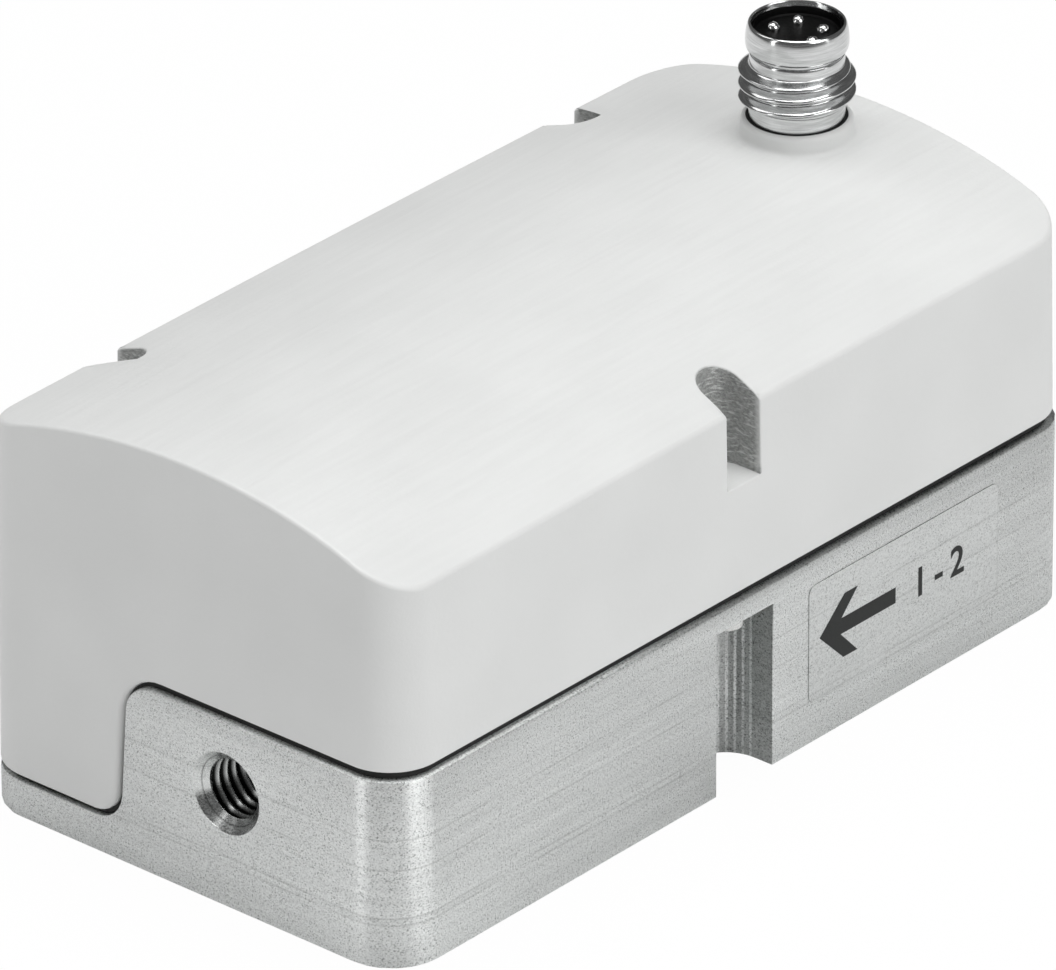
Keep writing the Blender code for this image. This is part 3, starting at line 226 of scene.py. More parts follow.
@dataclass(frozen=True)
class MouldedCover(Finish):
    """Satin light grey PBT, moulded.

    The eye sees an even pale grey, a very fine orange peel, long fine flow lines on the crown, and
    spark-eroded walls with light scores in the screw notches, painted darker as shade.
    """

    def pattern(self, tree: Tree, where: Socket) -> Layers:
        """Works out the cover's colour, roughness and height.

        Args:
            tree: the material's nodes.
            where: object coordinates in metres.

        Returns:
            The three layers.
        """
        peel = self.grain(tree, where, self.grain_mm)
        drift = add_node(tree, "MapRange", {0: self.grain(tree, where, 9.0, detail=1.0),
                                            1: 0.3, 2: 0.7})
        # Flow lines are about 0.5 mm apart and 7 mm long, and only the crown has them.
        lines = self.grain(tree, where, 0.5, (1.0, 0.07, 0.3), 4.0)
        normal = add_node(tree, "TexCoord", output="Normal")
        up = add_node(tree, "SeparateXYZ", {0: normal}, "Z")
        lined = add_node(tree, "Math", {0: add_node(tree, "MapRange", {0: lines, 1: 0.35, 2: 0.7}),
                                        1: add_node(tree, "MapRange", {0: up, 1: 0.75, 2: 0.97})},
                         operation="MULTIPLY")
        # Painted shade: the notch walls are darkened through the pits' colour, with the eroded
        # grain varying it and light scores over it.
        wall = add_node(tree, "Attribute", output="Fac", attribute_name="notch_wall")
        eroded = self.grain(tree, where, 0.26, (1.0, 1.0, 1.6), 5.0)
        pits = add_node(tree, "MapRange", {0: eroded, 1: 0.36, 2: 0.64, 3: 0.5, 4: 0.9})
        scores = self.grain(tree, where, 0.4, (0.5, 0.5, 2.2), 2.0)
        scores = add_node(tree, "MapRange", {0: scores, 1: 0.56, 2: 0.64, 3: 0.0, 4: 0.8})
        streaks, pits, scores, coarse = (
            add_node(tree, "Math", {0: where_shown, 1: strength}, operation="MULTIPLY")
            for where_shown, strength in ((lined, 0.05), (wall, pits), (wall, scores),
                                          (eroded, wall)))
        colour = self.layered(tree, (drift, self.light), (streaks, "#8c8e8c"), (pits, "#868886"),
                              (scores, "#dcdedc"))
        height = self.total(tree, (peel, 0.5), (lined, -0.55), (coarse, 5.0))
        return colour, self.rough(tree, peel), height


@dataclass(frozen=True)
class MilledAluminium(Finish):
    """EN AW-6082 aluminium, extruded, then milled and lightly blasted.

    The eye sees a fine dark speckle, faint level cutter marks, and a gloss that runs in upright
    bands on the rounded corners.
    """

    speck_depth: float = 0.5

    def pattern(self, tree: Tree, where: Socket) -> Layers:
        """Works out the aluminium's colour, roughness and height.

        Args:
            tree: the material's nodes.
            where: object coordinates in metres.

        Returns:
            The three layers.
        """
        # The grains are a little longer along the body than up it.
        fine = self.grain(tree, where, self.grain_mm, (0.8, 0.8, 1.0), 1.0)
        patches = self.grain(tree, where, 1.6, (0.7, 0.7, 1.0), 2.0)
        marks = self.grain(tree, where, 0.35, (0.03, 0.03, 1.0), 2.0)
        uneven = add_node(tree, "MapRange", {0: patches, 1: 0.35, 2: 0.65, 3: 0.5, 4: 1.0})
        dots = add_node(tree, "MapRange", {0: fine, 1: 0.40, 2: 0.28})
        specks = self.total(tree, (dots, 1.0), (self.worms(tree, where), 0.5))
        depth = add_node(tree, "Math", {0: specks, 1: uneven}, operation="MULTIPLY")
        depth = add_node(tree, "Math", {0: depth, 1: self.speck_depth}, operation="MULTIPLY",
                         use_clamp=True)
        shade = self.total(tree, (add_node(tree, "MapRange", {0: fine, 1: 0.3, 2: 0.7}), 0.75),
                           (add_node(tree, "MapRange", {0: marks, 1: 0.3, 2: 0.7}), 0.25))
        colour = self.layered(tree, (shade, self.light), (depth, "#4c4e4d"),
                              (self.scratches(tree, where), "#838583"))
        height = self.total(tree, (fine, 1.0), (marks, 0.08), (depth, -0.5))
        return colour, self.rough(tree, fine), height

    def crossing(self, tree: Tree, value: Socket, middle: float, wide: float,
                 narrow: float) -> Socket:
        """A soft line where a value crosses its middle.

        Args:
            tree: the material's nodes.
            value: the value.
            middle: where the line is.
            wide: how far from the middle the line begins.
            narrow: how far from it the line is whole.

        Returns:
            How much of the line each place is, 0 to 1.
        """
        off = add_node(tree, "Math", {0: value, 1: middle}, operation="SUBTRACT")
        off = add_node(tree, "Math", {0: off}, operation="ABSOLUTE")
        return add_node(tree, "MapRange", {0: off, 1: wide, 2: narrow})

    def worms(self, tree: Tree, where: Socket) -> Socket:
        """The short bent pits that blasting leaves, where a noise crosses its middle value.

        Args:
            tree: the material's nodes.
            where: object coordinates in metres.

        Returns:
            How much of a pit each place is, 0 to 1.
        """
        line = self.crossing(tree, self.grain(tree, where, 0.26, detail=1.0), 0.5, 0.05, 0.015)
        gaps = self.grain(tree, where, 0.33, detail=1.0)
        broken = add_node(tree, "MapRange", {0: gaps, 1: 0.5, 2: 0.58})
        return add_node(tree, "Math", {0: line, 1: broken}, operation="MULTIPLY")

    def scratches(self, tree: Tree, where: Socket) -> Socket:
        """The few long level marks that a cutter's edge left low on the sides.

        Args:
            tree: the material's nodes.
            where: object coordinates in metres.

        Returns:
            How strongly the marks show, 0 to about 0.3.
        """
        height = add_node(tree, "SeparateXYZ", {0: where}, "Z")
        wander = self.grain(tree, where, 14.0, (1.0, 1.0, 0.0), 2.0)
        level = self.total(tree, (height, 1.0 / MM), (wander, 0.3))
        strength = self.total(tree, *((self.crossing(tree, level, place, 0.1, 0.03), 1.0)
                                      for place in (3.35, 3.85, 7.4, 9.6)))
        gaps = self.grain(tree, where, 5.0, (1.0, 1.0, 0.0))
        broken = add_node(tree, "MapRange", {0: gaps, 1: 0.36, 2: 0.6, 3: 0.04, 4: 0.3})
        return add_node(tree, "Math", {0: strength, 1: broken}, operation="MULTIPLY")


@dataclass(frozen=True)
class MarkedAluminium(MilledAluminium):
    """Aluminium that is darker where the mesh is marked, with painted shade."""

    mark: str = ""
    painted_shade_colour: str = "#161716"

    def pattern(self, tree: Tree, where: Socket) -> Layers:
        """Works out the aluminium's layers, with the marked places in their own colour.

        Args:
            tree: the material's nodes.
            where: object coordinates in metres.

        Returns:
            The three layers.
        """
        colour, rough, height = super().pattern(tree, where)
        # The marked share is painted shade, mixed in the mark's dark colour.
        share = add_node(tree, "Attribute", output="Fac", attribute_name=self.mark)
        colour = add_node(tree, "Mix", {0: share, 6: colour, 7: srgb(self.painted_shade_colour)}, 2,
                          data_type="RGBA")
        return colour, rough, height


# Pale satin plastic, brightest on the crown.
COVER_PLASTIC = MouldedCover("moulded_pbt_cover", "#dfe0df", "#e3e4e3", 0.3, (0.42, 0.5), 0.032)
# Pale grey metal with a dark speckle.
MILLED_BASE = MilledAluminium("milled_aluminium_base", "#c8cac9", "#fcfefd", 0.1, (0.36, 0.44),
                              0.006, metallic=1.0, anisotropy=0.9, speck_depth=0.7)
# The notch's wall is rougher than the sides, and its colour is painted darker and greyer as shade
# in the recess.
SHADED_NOTCH_ALUMINIUM = MilledAluminium("milled_notch_wall", "#a2a4a3", "#dcdedd", 0.1, (0.4, 0.5), 0.006,
                               metallic=1.0, anisotropy=0.8, speck_depth=0.8)
# Light turned crests and a light sink; the flanks and roots are painted almost black as shade in
# the grooves, and a thin ring at the sink's lip is painted dark as shade too.
TURNED_THREAD = MarkedAluminium("tapped_aluminium_thread", "#bcbebd", "#e0e2e1", 0.1, (0.2, 0.34),
                                0.003, metallic=1.0, anisotropy=0.4, speck_depth=0.3,
                                mark="groove")
# Clear polyester film: the aluminium a little smoother and lighter, with a thin dark edge that is
# painted shade along the film's cut edge.
LABEL_FILM = MarkedAluminium("polyester_label_film", "#c6c8c7", "#e8eae9", 0.1, (0.3, 0.38), 0.003,
                             metallic=1.0, anisotropy=0.85, coat=0.25, speck_depth=0.5,
                             mark="film_edge", painted_shade_colour="#5a5c5a")
# Flat soft black.
LABEL_INK = Finish("screen_printed_ink", "#171918", "#1f2120", 0.12, (0.6, 0.75), 0.002)
# Bright nickel over brass, with turning lines about 0.06 mm apart, drawn at 0.09 mm so they show.
# The lines spread its reflections up and down, so the eye sees upright light and dark bands.
NICKEL = Finish("bright_nickel_plate", "#bcbdbd", "#e0e1e1", 0.09, (0.12, 0.2), 0.0005,
                (0.05, 0.05, 1.0), metallic=1.0, anisotropy=0.5)
# Small bright domes with one sharp glint each.
PIN_PLATE = Finish("polished_pin_plate", "#cfcfcf", "#dedede", 0.2, (0.06, 0.12), metallic=1.0)
# A black well with hardly a sheen.
INSERT_NYLON = Finish("glass_filled_nylon", "#020202", "#050505", 0.25, (0.35, 0.5), 0.004,
                      specular=0.12)
# Dull black, a thin dark line in the seam.
GASKET_RUBBER = Finish("nitrile_gasket", "#161716", "#222322", 0.3, (0.7, 0.85), 0.006)
# Bright bluish-white plate with soft glints.
SCREW_STEEL = Finish("zinc_plated_screw_steel", "#c9cac8", "#dddedc", 0.15, (0.2, 0.34), 0.002,
                     metallic=1.0)
# Grey steel with fine turning lines.
TURNED_STEEL = Finish("turned_stainless_steel", "#a8a9a8", "#c4c5c4", 0.08, (0.2, 0.32), 0.001,
                      (0.05, 0.05, 1.0), metallic=1.0)
# Green lacquer, slightly clouded.
SOLDER_MASK = Finish("solder_mask_laminate", "#0b4a22", "#11602d", 1.2, (0.35, 0.45), 0.004)
# Dark blue-grey moulding, matt.
SENSOR_HOUSING = Finish("moulded_pps_housing", "#3c3f43", "#484b4f", 0.4, (0.45, 0.6), 0.01)
# Near-black, finely matt.
CHIP_EPOXY = Finish("chip_epoxy", "#17181a", "#202124", 0.12, (0.5, 0.65), 0.003)
# Brownish grey, grainy and porous.
SINTERED_FILTER = Finish("sintered_steel_filter", "#6f6c66", "#a19d95", 0.12, (0.55, 0.8), 0.03,
                         metallic=1.0)
# Red-brown enamelled wire 0.16 mm thick, wound level round the bobbin.
COIL_WIRE = Finish("enamelled_copper_winding", "#7a3311", "#b05a24", 0.16, (0.25, 0.4), 0.03,
                   (0.02, 0.02, 1.0), metallic=0.6)
# Amber film with a soft sheen.
FLEX_FILM = Finish("polyimide_flex", "#8a4a10", "#a7611c", 0.8, (0.3, 0.4), 0.002)


class CarriedOver(Enum):
    """What the solids that keep their own meshes are made of."""

    FILTER = SINTERED_FILTER
    STEEL = TURNED_STEEL
    HOUSING = SENSOR_HOUSING
    BOARD = SOLDER_MASK
    CHIP = CHIP_EPOXY
    SCREW = SCREW_STEEL
    RUBBER = GASKET_RUBBER
    FLEX = FLEX_FILM
    COIL = COIL_WIRE


INNER_PIECES: dict[CarriedOver, tuple[str, ...]] = {
    CarriedOver.FILTER: ("inlet_filter",),
    CarriedOver.STEEL: ("flow_element", "valve_cartridge", "valve_yoke", "capacitor_1",
                        "capacitor_2"),
    CarriedOver.HOUSING: ("sensor_body", "board_header_1", "board_header_2"),
    CarriedOver.BOARD: ("sensor_board", "connector_board", "main_board"),
    CarriedOver.CHIP: ("sensor_chip", "controller_chip"),
    CarriedOver.SCREW: ("sensor_screw_1", "sensor_screw_2", "valve_nut", "valve_screw_1",
                        "valve_screw_2", "board_spacer_1", "board_spacer_2", "board_screw_1",
                        "board_screw_2"),
    CarriedOver.RUBBER: ("sensor_seal_1", "sensor_seal_2", "valve_seal_inner",
                         "valve_seal_outer"),
    CarriedOver.FLEX: ("sensor_flex", "connector_flex"),
    CarriedOver.COIL: ("valve_coil",),
}


# Surfaces


def add_object(name: str, data: bpy.types.ID) -> Piece:
    """Makes an object of some data and puts it in the scene.

    Args:
        name: the object's name.
        data: its mesh, lamp or camera.

    Returns:
        The object.
    """
    made = bpy.data.objects.new(name, data)
    bpy.context.scene.collection.objects.link(made)
    return made


@dataclass
class Skin:
    """A closed mesh gathered from grids of points, in millimetres."""

    name: str
    points: list[Array] = field(default_factory=list)
    faces: list[Array] = field(default_factory=list)
    marks: dict[str, list[Array]] = field(default_factory=dict)
    count: int = 0

    def add_grid(self, grid: Array, loop_rows: bool = False, loop_columns: bool = True,
                 marks: Optional[dict[str, Array]] = None) -> "Skin":
        """Adds a grid of points and the four-sided faces between its rows and columns.

        Args:
            grid: points as rows, columns and three coordinates.
            loop_rows: joins the last row to the first.
            loop_columns: joins the last column to the first.
            marks: values by name, one for each row and column, kept as point attributes.

        Returns:
            The skin itself.
        """
        rows, columns = grid.shape[:2]
        index = np.arange(rows * columns).reshape(rows, columns) + self.count
        below = index if loop_rows else index[:-1]
        above = np.roll(index, -1, axis=0) if loop_rows else index[1:]
        quads = np.stack([below, np.roll(below, -1, axis=1), np.roll(above, -1, axis=1), above],
                         axis=-1)
        if not loop_columns:
            quads = quads[:, :-1]
        self.points.append(grid.reshape(-1, 3))
        self.faces.append(quads.reshape(-1, 4))
        for name, values in (marks or {}).items():
            self.marks.setdefault(name, []).append(values.ravel())
        self.count += rows * columns
        return self

    def build(self, finish: Finish, slot: str, sharp: float = 40.0) -> Piece:
        """Puts the grids into one mesh, welds its seams and poles, and dresses it.

        Args:
            finish: the material.
            slot: the name of that material's slot; not used.
            sharp: the angle in degrees past which an edge stays sharp.

        Returns:
            The finished object, riding on the body.
        """
        points = np.concatenate(self.points) * MM
        quads = np.concatenate(self.faces)
        mesh = bpy.data.meshes.new(self.name)
        mesh.vertices.add(len(points))
        mesh.vertices.foreach_set("co", points.astype(np.float32).ravel())
        mesh.loops.add(quads.size)
        mesh.loops.foreach_set("vertex_index", quads.astype(np.int32).ravel())
        mesh.polygons.add(len(quads))
        mesh.polygons.foreach_set("loop_start", np.arange(0, quads.size, 4, dtype=np.int32))
        mesh.update(calc_edges=True)
        for name, values in self.marks.items():
            mark = mesh.attributes.new(name, "FLOAT", "POINT")
            mark.data.foreach_set("value", np.concatenate(values).astype(np.float32))
        return finish_mesh(self.name, mesh, finish, sharp)


def finish_mesh(name: str, mesh: bpy.types.Mesh, finish: Finish, sharp: float) -> Piece:
    """Welds a mesh, turns its faces outwards, shades it and makes it ride on the body.

    Args:
        name: the piece's name.
        mesh: the mesh, in metres.
        finish: the material.
        sharp: the angle in degrees past which an edge stays sharp.

    Returns:
        The finished object.
    """
    shape = bmesh.new()
    shape.from_mesh(mesh)
    bmesh.ops.remove_doubles(shape, verts=shape.verts, dist=2e-7)
    bmesh.ops.dissolve_degenerate(shape, edges=shape.edges, dist=1e-8)
    bmesh.ops.recalc_face_normals(shape, faces=shape.faces)
    shape.to_mesh(mesh)
    shape.free()
    mesh.shade_smooth()
    mesh.set_sharp_from_angle(angle=math.radians(sharp))
    mesh.materials.clear()
    mesh.materials.append(finish.make())
    piece = add_object(name, mesh)
    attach(piece, "root")
    log.info("%s: %d faces", name, len(mesh.polygons))
    return piece


def steps_round(columns: int) -> Array:
    """Equal steps of a full turn."""
    return np.linspace(0.0, FULL_TURN, columns, endpoint=False)


def around(radius: Array, height: Array, angle: Array, x: float, y: float) -> Array:
    """A grid round an upright axis, whose points lie at x + r cos a, y + r sin a and their height.

    Args:
        radius: the radii, one row for each ring.
        height: the heights, one row for each ring.
        angle: the angle of each column.
        x: the axis's place across the body.
        y: the axis's place along it.

    Returns:
        The grid.
    """
    return np.stack(np.broadcast_arrays(x + radius * np.cos(angle), y + radius * np.sin(angle),
                                        height), axis=-1)


def turned(profile: Array, x: float, y: float, columns: int = 96) -> Array:
    """Turns a profile of radius and height pairs round an upright axis."""
    return around(profile[:, :1], profile[:, 1:], steps_round(columns), x, y)


def softened(corners: list[Triple], steps: int = 5) -> Array:
    """A closed outline through corners, each rounded by its radius.

    A corner's arc is a quadratic curve from radius r before it to r after it, with the corner as
    its middle control point.

    Args:
        corners: coordinates and rounding of each corner.
        steps: points on each rounding.

    Returns:
        The outline's points.
    """
    places, radii = np.array(corners)[:, :2], np.array(corners)[:, 2:]
    before = np.roll(places, 1, axis=0) - places
    after = np.roll(places, -1, axis=0) - places
    before /= np.linalg.norm(before, axis=1, keepdims=True)
    after /= np.linalg.norm(after, axis=1, keepdims=True)
    share = np.linspace(0.0, 1.0, steps)[None, :, None]
    start, end = (places + before * radii)[:, None], (places + after * radii)[:, None]
    middle = places[:, None]
    curve = (1 - share) ** 2 * start + 2 * share * (1 - share) * middle + share ** 2 * end
    return curve.reshape(-1, 2)


# The cover


@dataclass
class Columns:
    """What the cover's grid needs to know of each of its upright columns, as arrays."""

    rim_x: Array
    rim_z: Array
    into_x: Array
    into_z: Array
    rim_round: Array
    top_x: Array
    anchor_y: Array
    out_x: Array
    out_y: Array
    along_flat: Array
    along_notch: Array
    deep: Array
    deep_share: Array
    face_along: Array
    face_out: Array
    edge_round: Array
    spine_y: Array

    @staticmethod
    def join(parts: list["Columns"]) -> "Columns":
        """Puts columns one after the other."""
        return Columns(*map(np.concatenate, zip(*(vars(part).values() for part in parts))))

    def backwards(self) -> "Columns":
        """The same columns in the other order."""
        return Columns(*(values[::-1] for values in vars(self).values()))


@dataclass
class Cover:
    """The moulded cover: arched crown, drafted sides, stepped rim, screw notches and boss."""

    half_width: float = 18.5
    half_length: float = 34.65
    corner: float = 3.9
    draft: float = math.radians(1.0)
    wall: float = 1.6
    column_wall: float = 0.4
    hollow_straight: float = 24.0
    hollow_edge: float = 26.0
    hollow_rolls: tuple[tuple[float, float], ...] = ((0.0, 0.6), (0.18, 0.18), (0.6, 0.0))
    column_radius: float = 3.13
    # The crown, its rolled edge, and how it swells over the plain arch
    crown: float = 31.4
    arch: float = 51.0
    crease: float = 0.3
    crease_height: float = 27.4
    crease_guess: float = 27.5
    climb: float = 0.2
    climb_from: float = -14.0
    climb_length: float = 18.0
    end_droop: float = 0.15
    end_length: float = 6.0
    side_droop: float = 0.75
    side_power: float = 5.5
    swell_from: float = 22.3
    swell_over: float = 4.5
    # The stepped rim, which is level again at the height named level
    rim_low: float = 3.10
    rim_high: float = 14.26
    rim_edge: float = 0.18
    step_edge: float = 0.24
    step_foot_x: float = -6.013
    step_head_x: float = -5.174
    foot_radius: float = 2.0
    shoulder_radius: float = 3.5
    level: float = 17.0
    # The screw notches, and how many columns lie between them
    notch_axis: float = 16.85
    deeper: float = 0.7
    notch_radius: float = 1.66
    notch_floor: float = 22.05
    floor_drawn: float = 0.34
    floor_edge: float = 0.1
    floor_foot: float = 0.08
    notch_mouth: float = 0.12
    notch_rim: float = 0.14
    right_notch: float = 0.1
    left_notches: tuple[float, float] = (-22.4, 23.4)
    right_counts: tuple[int, ...] = (42, 41)
    left_counts: tuple[int, ...] = (10, 32, 8)
    # The gasket in the seam
    seam_low: float = 0.36
    seam_high: float = 0.59
    seam_step: float = 0.40
    seal_clear: float = 0.05
    seal_outer: float = 0.42
    seal_inner: float = 1.22
    shank_clear: float = 0.9
    # The connector's boss
    connector_y: float = 27.06
    boss_radius: float = 3.84
    boss_top: float = 32.95
    boss_edge: float = 0.42
    boss_fillet: float = 0.4
    boss_root: float = 1.2
    hole: float = 3.44
    ring_seat: float = 3.47
    seat_depth: float = 0.4

    @property
    def inner_x(self) -> float:
        """Where the rounded corners' centres stand across the body."""
        return self.half_width - self.corner

    @property
    def inner_y(self) -> float:
        """Where the rounded corners' centres stand along the body."""
        return self.half_length - self.corner

    @property
    def spine_end(self) -> float:
        """Where the crown's middle line stops, short of each end."""
        return 0.75 * self.inner_y

    def rim_at(self, side: float) -> float:
        """The rim's height on the left side, -1, or the right, 1."""
        return self.rim_high if side > 0 else self.rim_low

    def taper(self, z: Values) -> Values:
        """How far the draft has drawn the side in at a height."""
        return np.maximum(z - self.rim_low, 0.0) * math.tan(self.draft)

    def crown_at(self, x: Array, drop: float = 0.0) -> Array:
        """Height of the arch at a distance x from the middle.

        The crown is a circle's arc: its top less its radius, plus the root of the radius squared
        less x squared. The inside is the same arc with both made smaller by the drop.

        Args:
            x: distances from the middle.
            drop: how far inside the outer surface.

        Returns:
            Heights.
        """
        radius = self.arch - drop
        return self.crown - drop - radius + np.sqrt(radius ** 2 - x ** 2)

    def swell(self, x: Array, y: Array) -> Array:
        """How far the moulded crown stands over the plain arch at a place.

        It climbs by a hyperbolic tangent of y from the outlet to the inlet, with an exponential
        droop at the outlet's edge. Towards the right side it droops as a high power of x.

        Args:
            x: places across the body.
            y: places along it.

        Returns:
            Heights over the arch.
        """
        climb = self.climb * np.tanh((y - self.climb_from) / self.climb_length)
        end = self.end_droop * np.exp(-(y + self.half_length) / self.end_length)
        side = self.side_droop * np.clip(x / self.half_width, 0.0, 1.0) ** self.side_power
        return climb - end - side

    def screw_offsets(self, col: Columns) -> list[tuple[Array, Array]]:
        """For each screw, which columns are on its side and how far along it they are."""
        return [(col.out_x * side > 0.999, col.anchor_y + col.along_flat - place) for side, place
                in ((1, self.right_notch), *((-1, place) for place in self.left_notches))]

    def plain(self, count: int, **values: Values) -> Columns:
        """Columns with no notch, whose rim runs level unless a value says otherwise.

        Args:
            count: how many columns.
            values: what differs, by field name.

        Returns:
            The columns.
        """
        rest = dict.fromkeys(("into_x", "out_y", "along_flat", "along_notch", "deep", "deep_share",
                              "face_along", "spine_y"), 0.0)
        rest.update(into_z=1.0, face_out=1.0, rim_round=self.rim_edge, edge_round=self.crease,
                    top_x=values["rim_x"])
        rest.update(values)
        return Columns(**{name: np.broadcast_to(np.asarray(value, float), (count,)).copy()
                          for name, value in rest.items()})

    def step_arc(self, before: Array, corner: Array, after: Array, radius: float,
                 towards_centre: bool) -> tuple[Array, Array]:
        """A rounded corner of the rim's step.

        Its points lie a radius from a centre on the corner's bisector, at radius over the sine of
        half the corner's angle.

        Args:
            before: the point that the corner is reached from.
            corner: the corner itself.
            after: the point that it leads to.
            radius: the rounding.
            towards_centre: whether the cover's material lies on the centre's side.

        Returns:
            The arc's points, and the unit vectors from them into the cover.
        """
        first = (before - corner) / np.linalg.norm(before - corner)
        last = (after - corner) / np.linalg.norm(after - corner)
        half = math.acos(float(first @ last)) / 2
        centre = corner + (first + last) / np.linalg.norm(first + last) * radius / math.sin(half)
        start = corner + first * radius / math.tan(half) - centre
        end = corner + last * radius / math.tan(half) - centre
        begin = math.atan2(start[1], start[0])
        turn = (math.atan2(end[1], end[0]) - begin + math.pi) % FULL_TURN - math.pi
        angle = begin + turn * np.linspace(0.0, 1.0, 9)
        spoke = np.stack([np.cos(angle), np.sin(angle)], axis=-1)
        return centre + spoke * radius, -spoke if towards_centre else spoke

    def end_columns(self, side: float) -> Columns:
        """Columns of the outlet or inlet face, where the rim steps over the flow block.

        Args:
            side: -1 for the outlet face, 1 for the inlet face.

        Returns:
            The columns, in order round the body.
        """
        left = np.array([-self.inner_x, self.rim_low])
        foot = np.array([self.step_foot_x, self.rim_low])
        head = np.array([self.step_head_x, self.rim_high])
        right = np.array([self.inner_x, self.rim_high])
        foot_arc, foot_into = self.step_arc(left, foot, head, self.foot_radius, True)
        head_arc, head_into = self.step_arc(foot, head, right, self.shoulder_radius, False)
        rim = np.concatenate([np.linspace(left, foot_arc[0], 8, endpoint=False), foot_arc,
                              np.linspace(foot_arc[-1], head_arc[0], 8)[1:-1], head_arc,
                              np.linspace(head_arc[-1], right, 17)[1:]])
        up = np.array([[0.0, 1.0]])
        into = np.concatenate([up.repeat(8, 0), foot_into, foot_into[-1:].repeat(6, 0), head_into,
                               up.repeat(16, 0)])
        # Over the step the columns fan out evenly on their way up to the crown.
        top = rim[:, 0].copy()
        top[7:33] = np.interp(np.arange(26), [0, 9, 16, 25], [top[7], -6.9, -6.0, top[32]])
        columns = self.plain(len(rim), rim_x=rim[:, 0], rim_z=rim[:, 1], into_x=into[:, 0],
                             into_z=into[:, 1], top_x=top, anchor_y=side * self.inner_y,
                             rim_round=self.rim_edge + self.step_edge * np.abs(into[:, 0]),
                             out_x=0.0, out_y=side, spine_y=side * self.spine_end)
        return columns if side < 0 else columns.backwards()

    def corner_columns(self, side_x: float, side_y: float, start: float) -> Columns:
        """Columns of one upright rounded corner.

        Args:
            side_x: -1 or 1, which side it is on.
            side_y: -1 or 1, which end it is at.
            start: the angle in degrees at which it starts.

        Returns:
            The columns.
        """
        angle = np.radians(start + 90.0 * np.linspace(0.0, 1.0, 20)[1:-1])
        return self.plain(len(angle), rim_x=side_x * self.inner_x, rim_z=self.rim_at(side_x),
                          anchor_y=side_y * self.inner_y, out_x=np.cos(angle), out_y=np.sin(angle),
                          spine_y=side_y * self.spine_end)

    def notch_columns(self, side: float, place: float) -> Columns:
        """Columns of one screw notch.

        Seen from above, a notch goes in by a rounded lip, a straight wall to the screw's axis and
        a little deeper, half a circle and the same again outwards. A column's depth is a fixed
        part plus a share of the axis's distance from the side, so it follows the draft.

        Args:
            side: -1 for the left side, 1 for the right.
            place: the notch's middle along the body.

        Returns:
            The columns.
        """
        lip, radius = self.notch_mouth, self.notch_radius
        bend, wall = np.radians(np.linspace(0.0, 90.0, 5)), np.linspace(0.0, 1.0, 5)[1:-1]
        half = np.radians(np.linspace(-90.0, 90.0, 17))

        def both(mouth: Array, straight: Values, middle: Array, turn: float = 1.0) -> Array:
            """Values in from the mouth, down the wall, round the half circle and out again."""
            way_in = np.concatenate([mouth, np.broadcast_to(straight, (3,))])
            return np.concatenate([way_in, middle, turn * way_in[::-1]])

        along = both(lip * np.sin(bend) - radius - lip, -radius, radius * np.sin(half), -1.0)
        deep = both(lip - lip * np.cos(bend), lip * (1 - wall), radius * np.cos(half))
        share = both(np.zeros(5), wall, np.ones(17))
        mouth = both(np.cos(bend), 0.0, np.zeros(17))
        return self.plain(len(along), rim_x=side * self.inner_x, rim_z=self.rim_at(side),
                          anchor_y=place, out_x=side, along_notch=along,
                          along_flat=np.linspace(-radius - lip, radius + lip, len(along)),
                          deep=deep + self.deeper * share, deep_share=share,
                          face_along=both(np.sin(bend), 1.0, -np.sin(half), -1.0),
                          face_out=both(np.cos(bend), 0.0, np.cos(half)),
                          edge_round=self.notch_rim + (self.crease - self.notch_rim) * mouth)

    def side_columns(self, side: float) -> Columns:
        """Columns of one long side with its notches.

        Args:
            side: -1 for the left side, 1 for the right.

        Returns:
            The columns, in order from the outlet to the inlet.
        """
        places = (self.right_notch,) if side > 0 else self.left_notches
        reach = self.notch_radius + self.notch_mouth
        stops = [-self.inner_y, *(place + way * reach for place in places for way in (-1, 1)),
                 self.inner_y]
        parts = []
        for number, count in enumerate(self.right_counts if side > 0 else self.left_counts):
            more = number < len(places)
            run = np.linspace(stops[2 * number], stops[2 * number + 1], count + 2)
            run = run[int(number > 0):count + 2 - int(more)]
            parts.append(self.plain(len(run), rim_x=side * self.inner_x, rim_z=self.rim_at(side),
                                    anchor_y=run, out_x=side))
            if more:
                parts.append(self.notch_columns(side, places[number]))
        return Columns.join(parts)

    def all_columns(self) -> Columns:
        """Every column of the cover, in order round the body from the outlet face's left end.

        The two long sides have as many columns as each other, so the crown's middle line is
        shared: column j of one side ends on it at the mean of the two columns' places, scaled to
        its length.

        Returns:
            The columns.
        """
        right, left = self.side_columns(1.0), self.side_columns(-1.0)
        shared = 0.375 * (right.anchor_y + right.along_flat + left.anchor_y + left.along_flat)
        shared[0], shared[-1] = -self.spine_end, self.spine_end
        right.spine_y, left.spine_y = shared, shared
        return Columns.join([self.end_columns(-1.0), self.corner_columns(1.0, -1.0, -90.0), right,
                             self.corner_columns(1.0, 1.0, 0.0), self.end_columns(1.0),
                             self.corner_columns(-1.0, 1.0, 90.0), left.backwards(),
                             self.corner_columns(-1.0, -1.0, 180.0)])

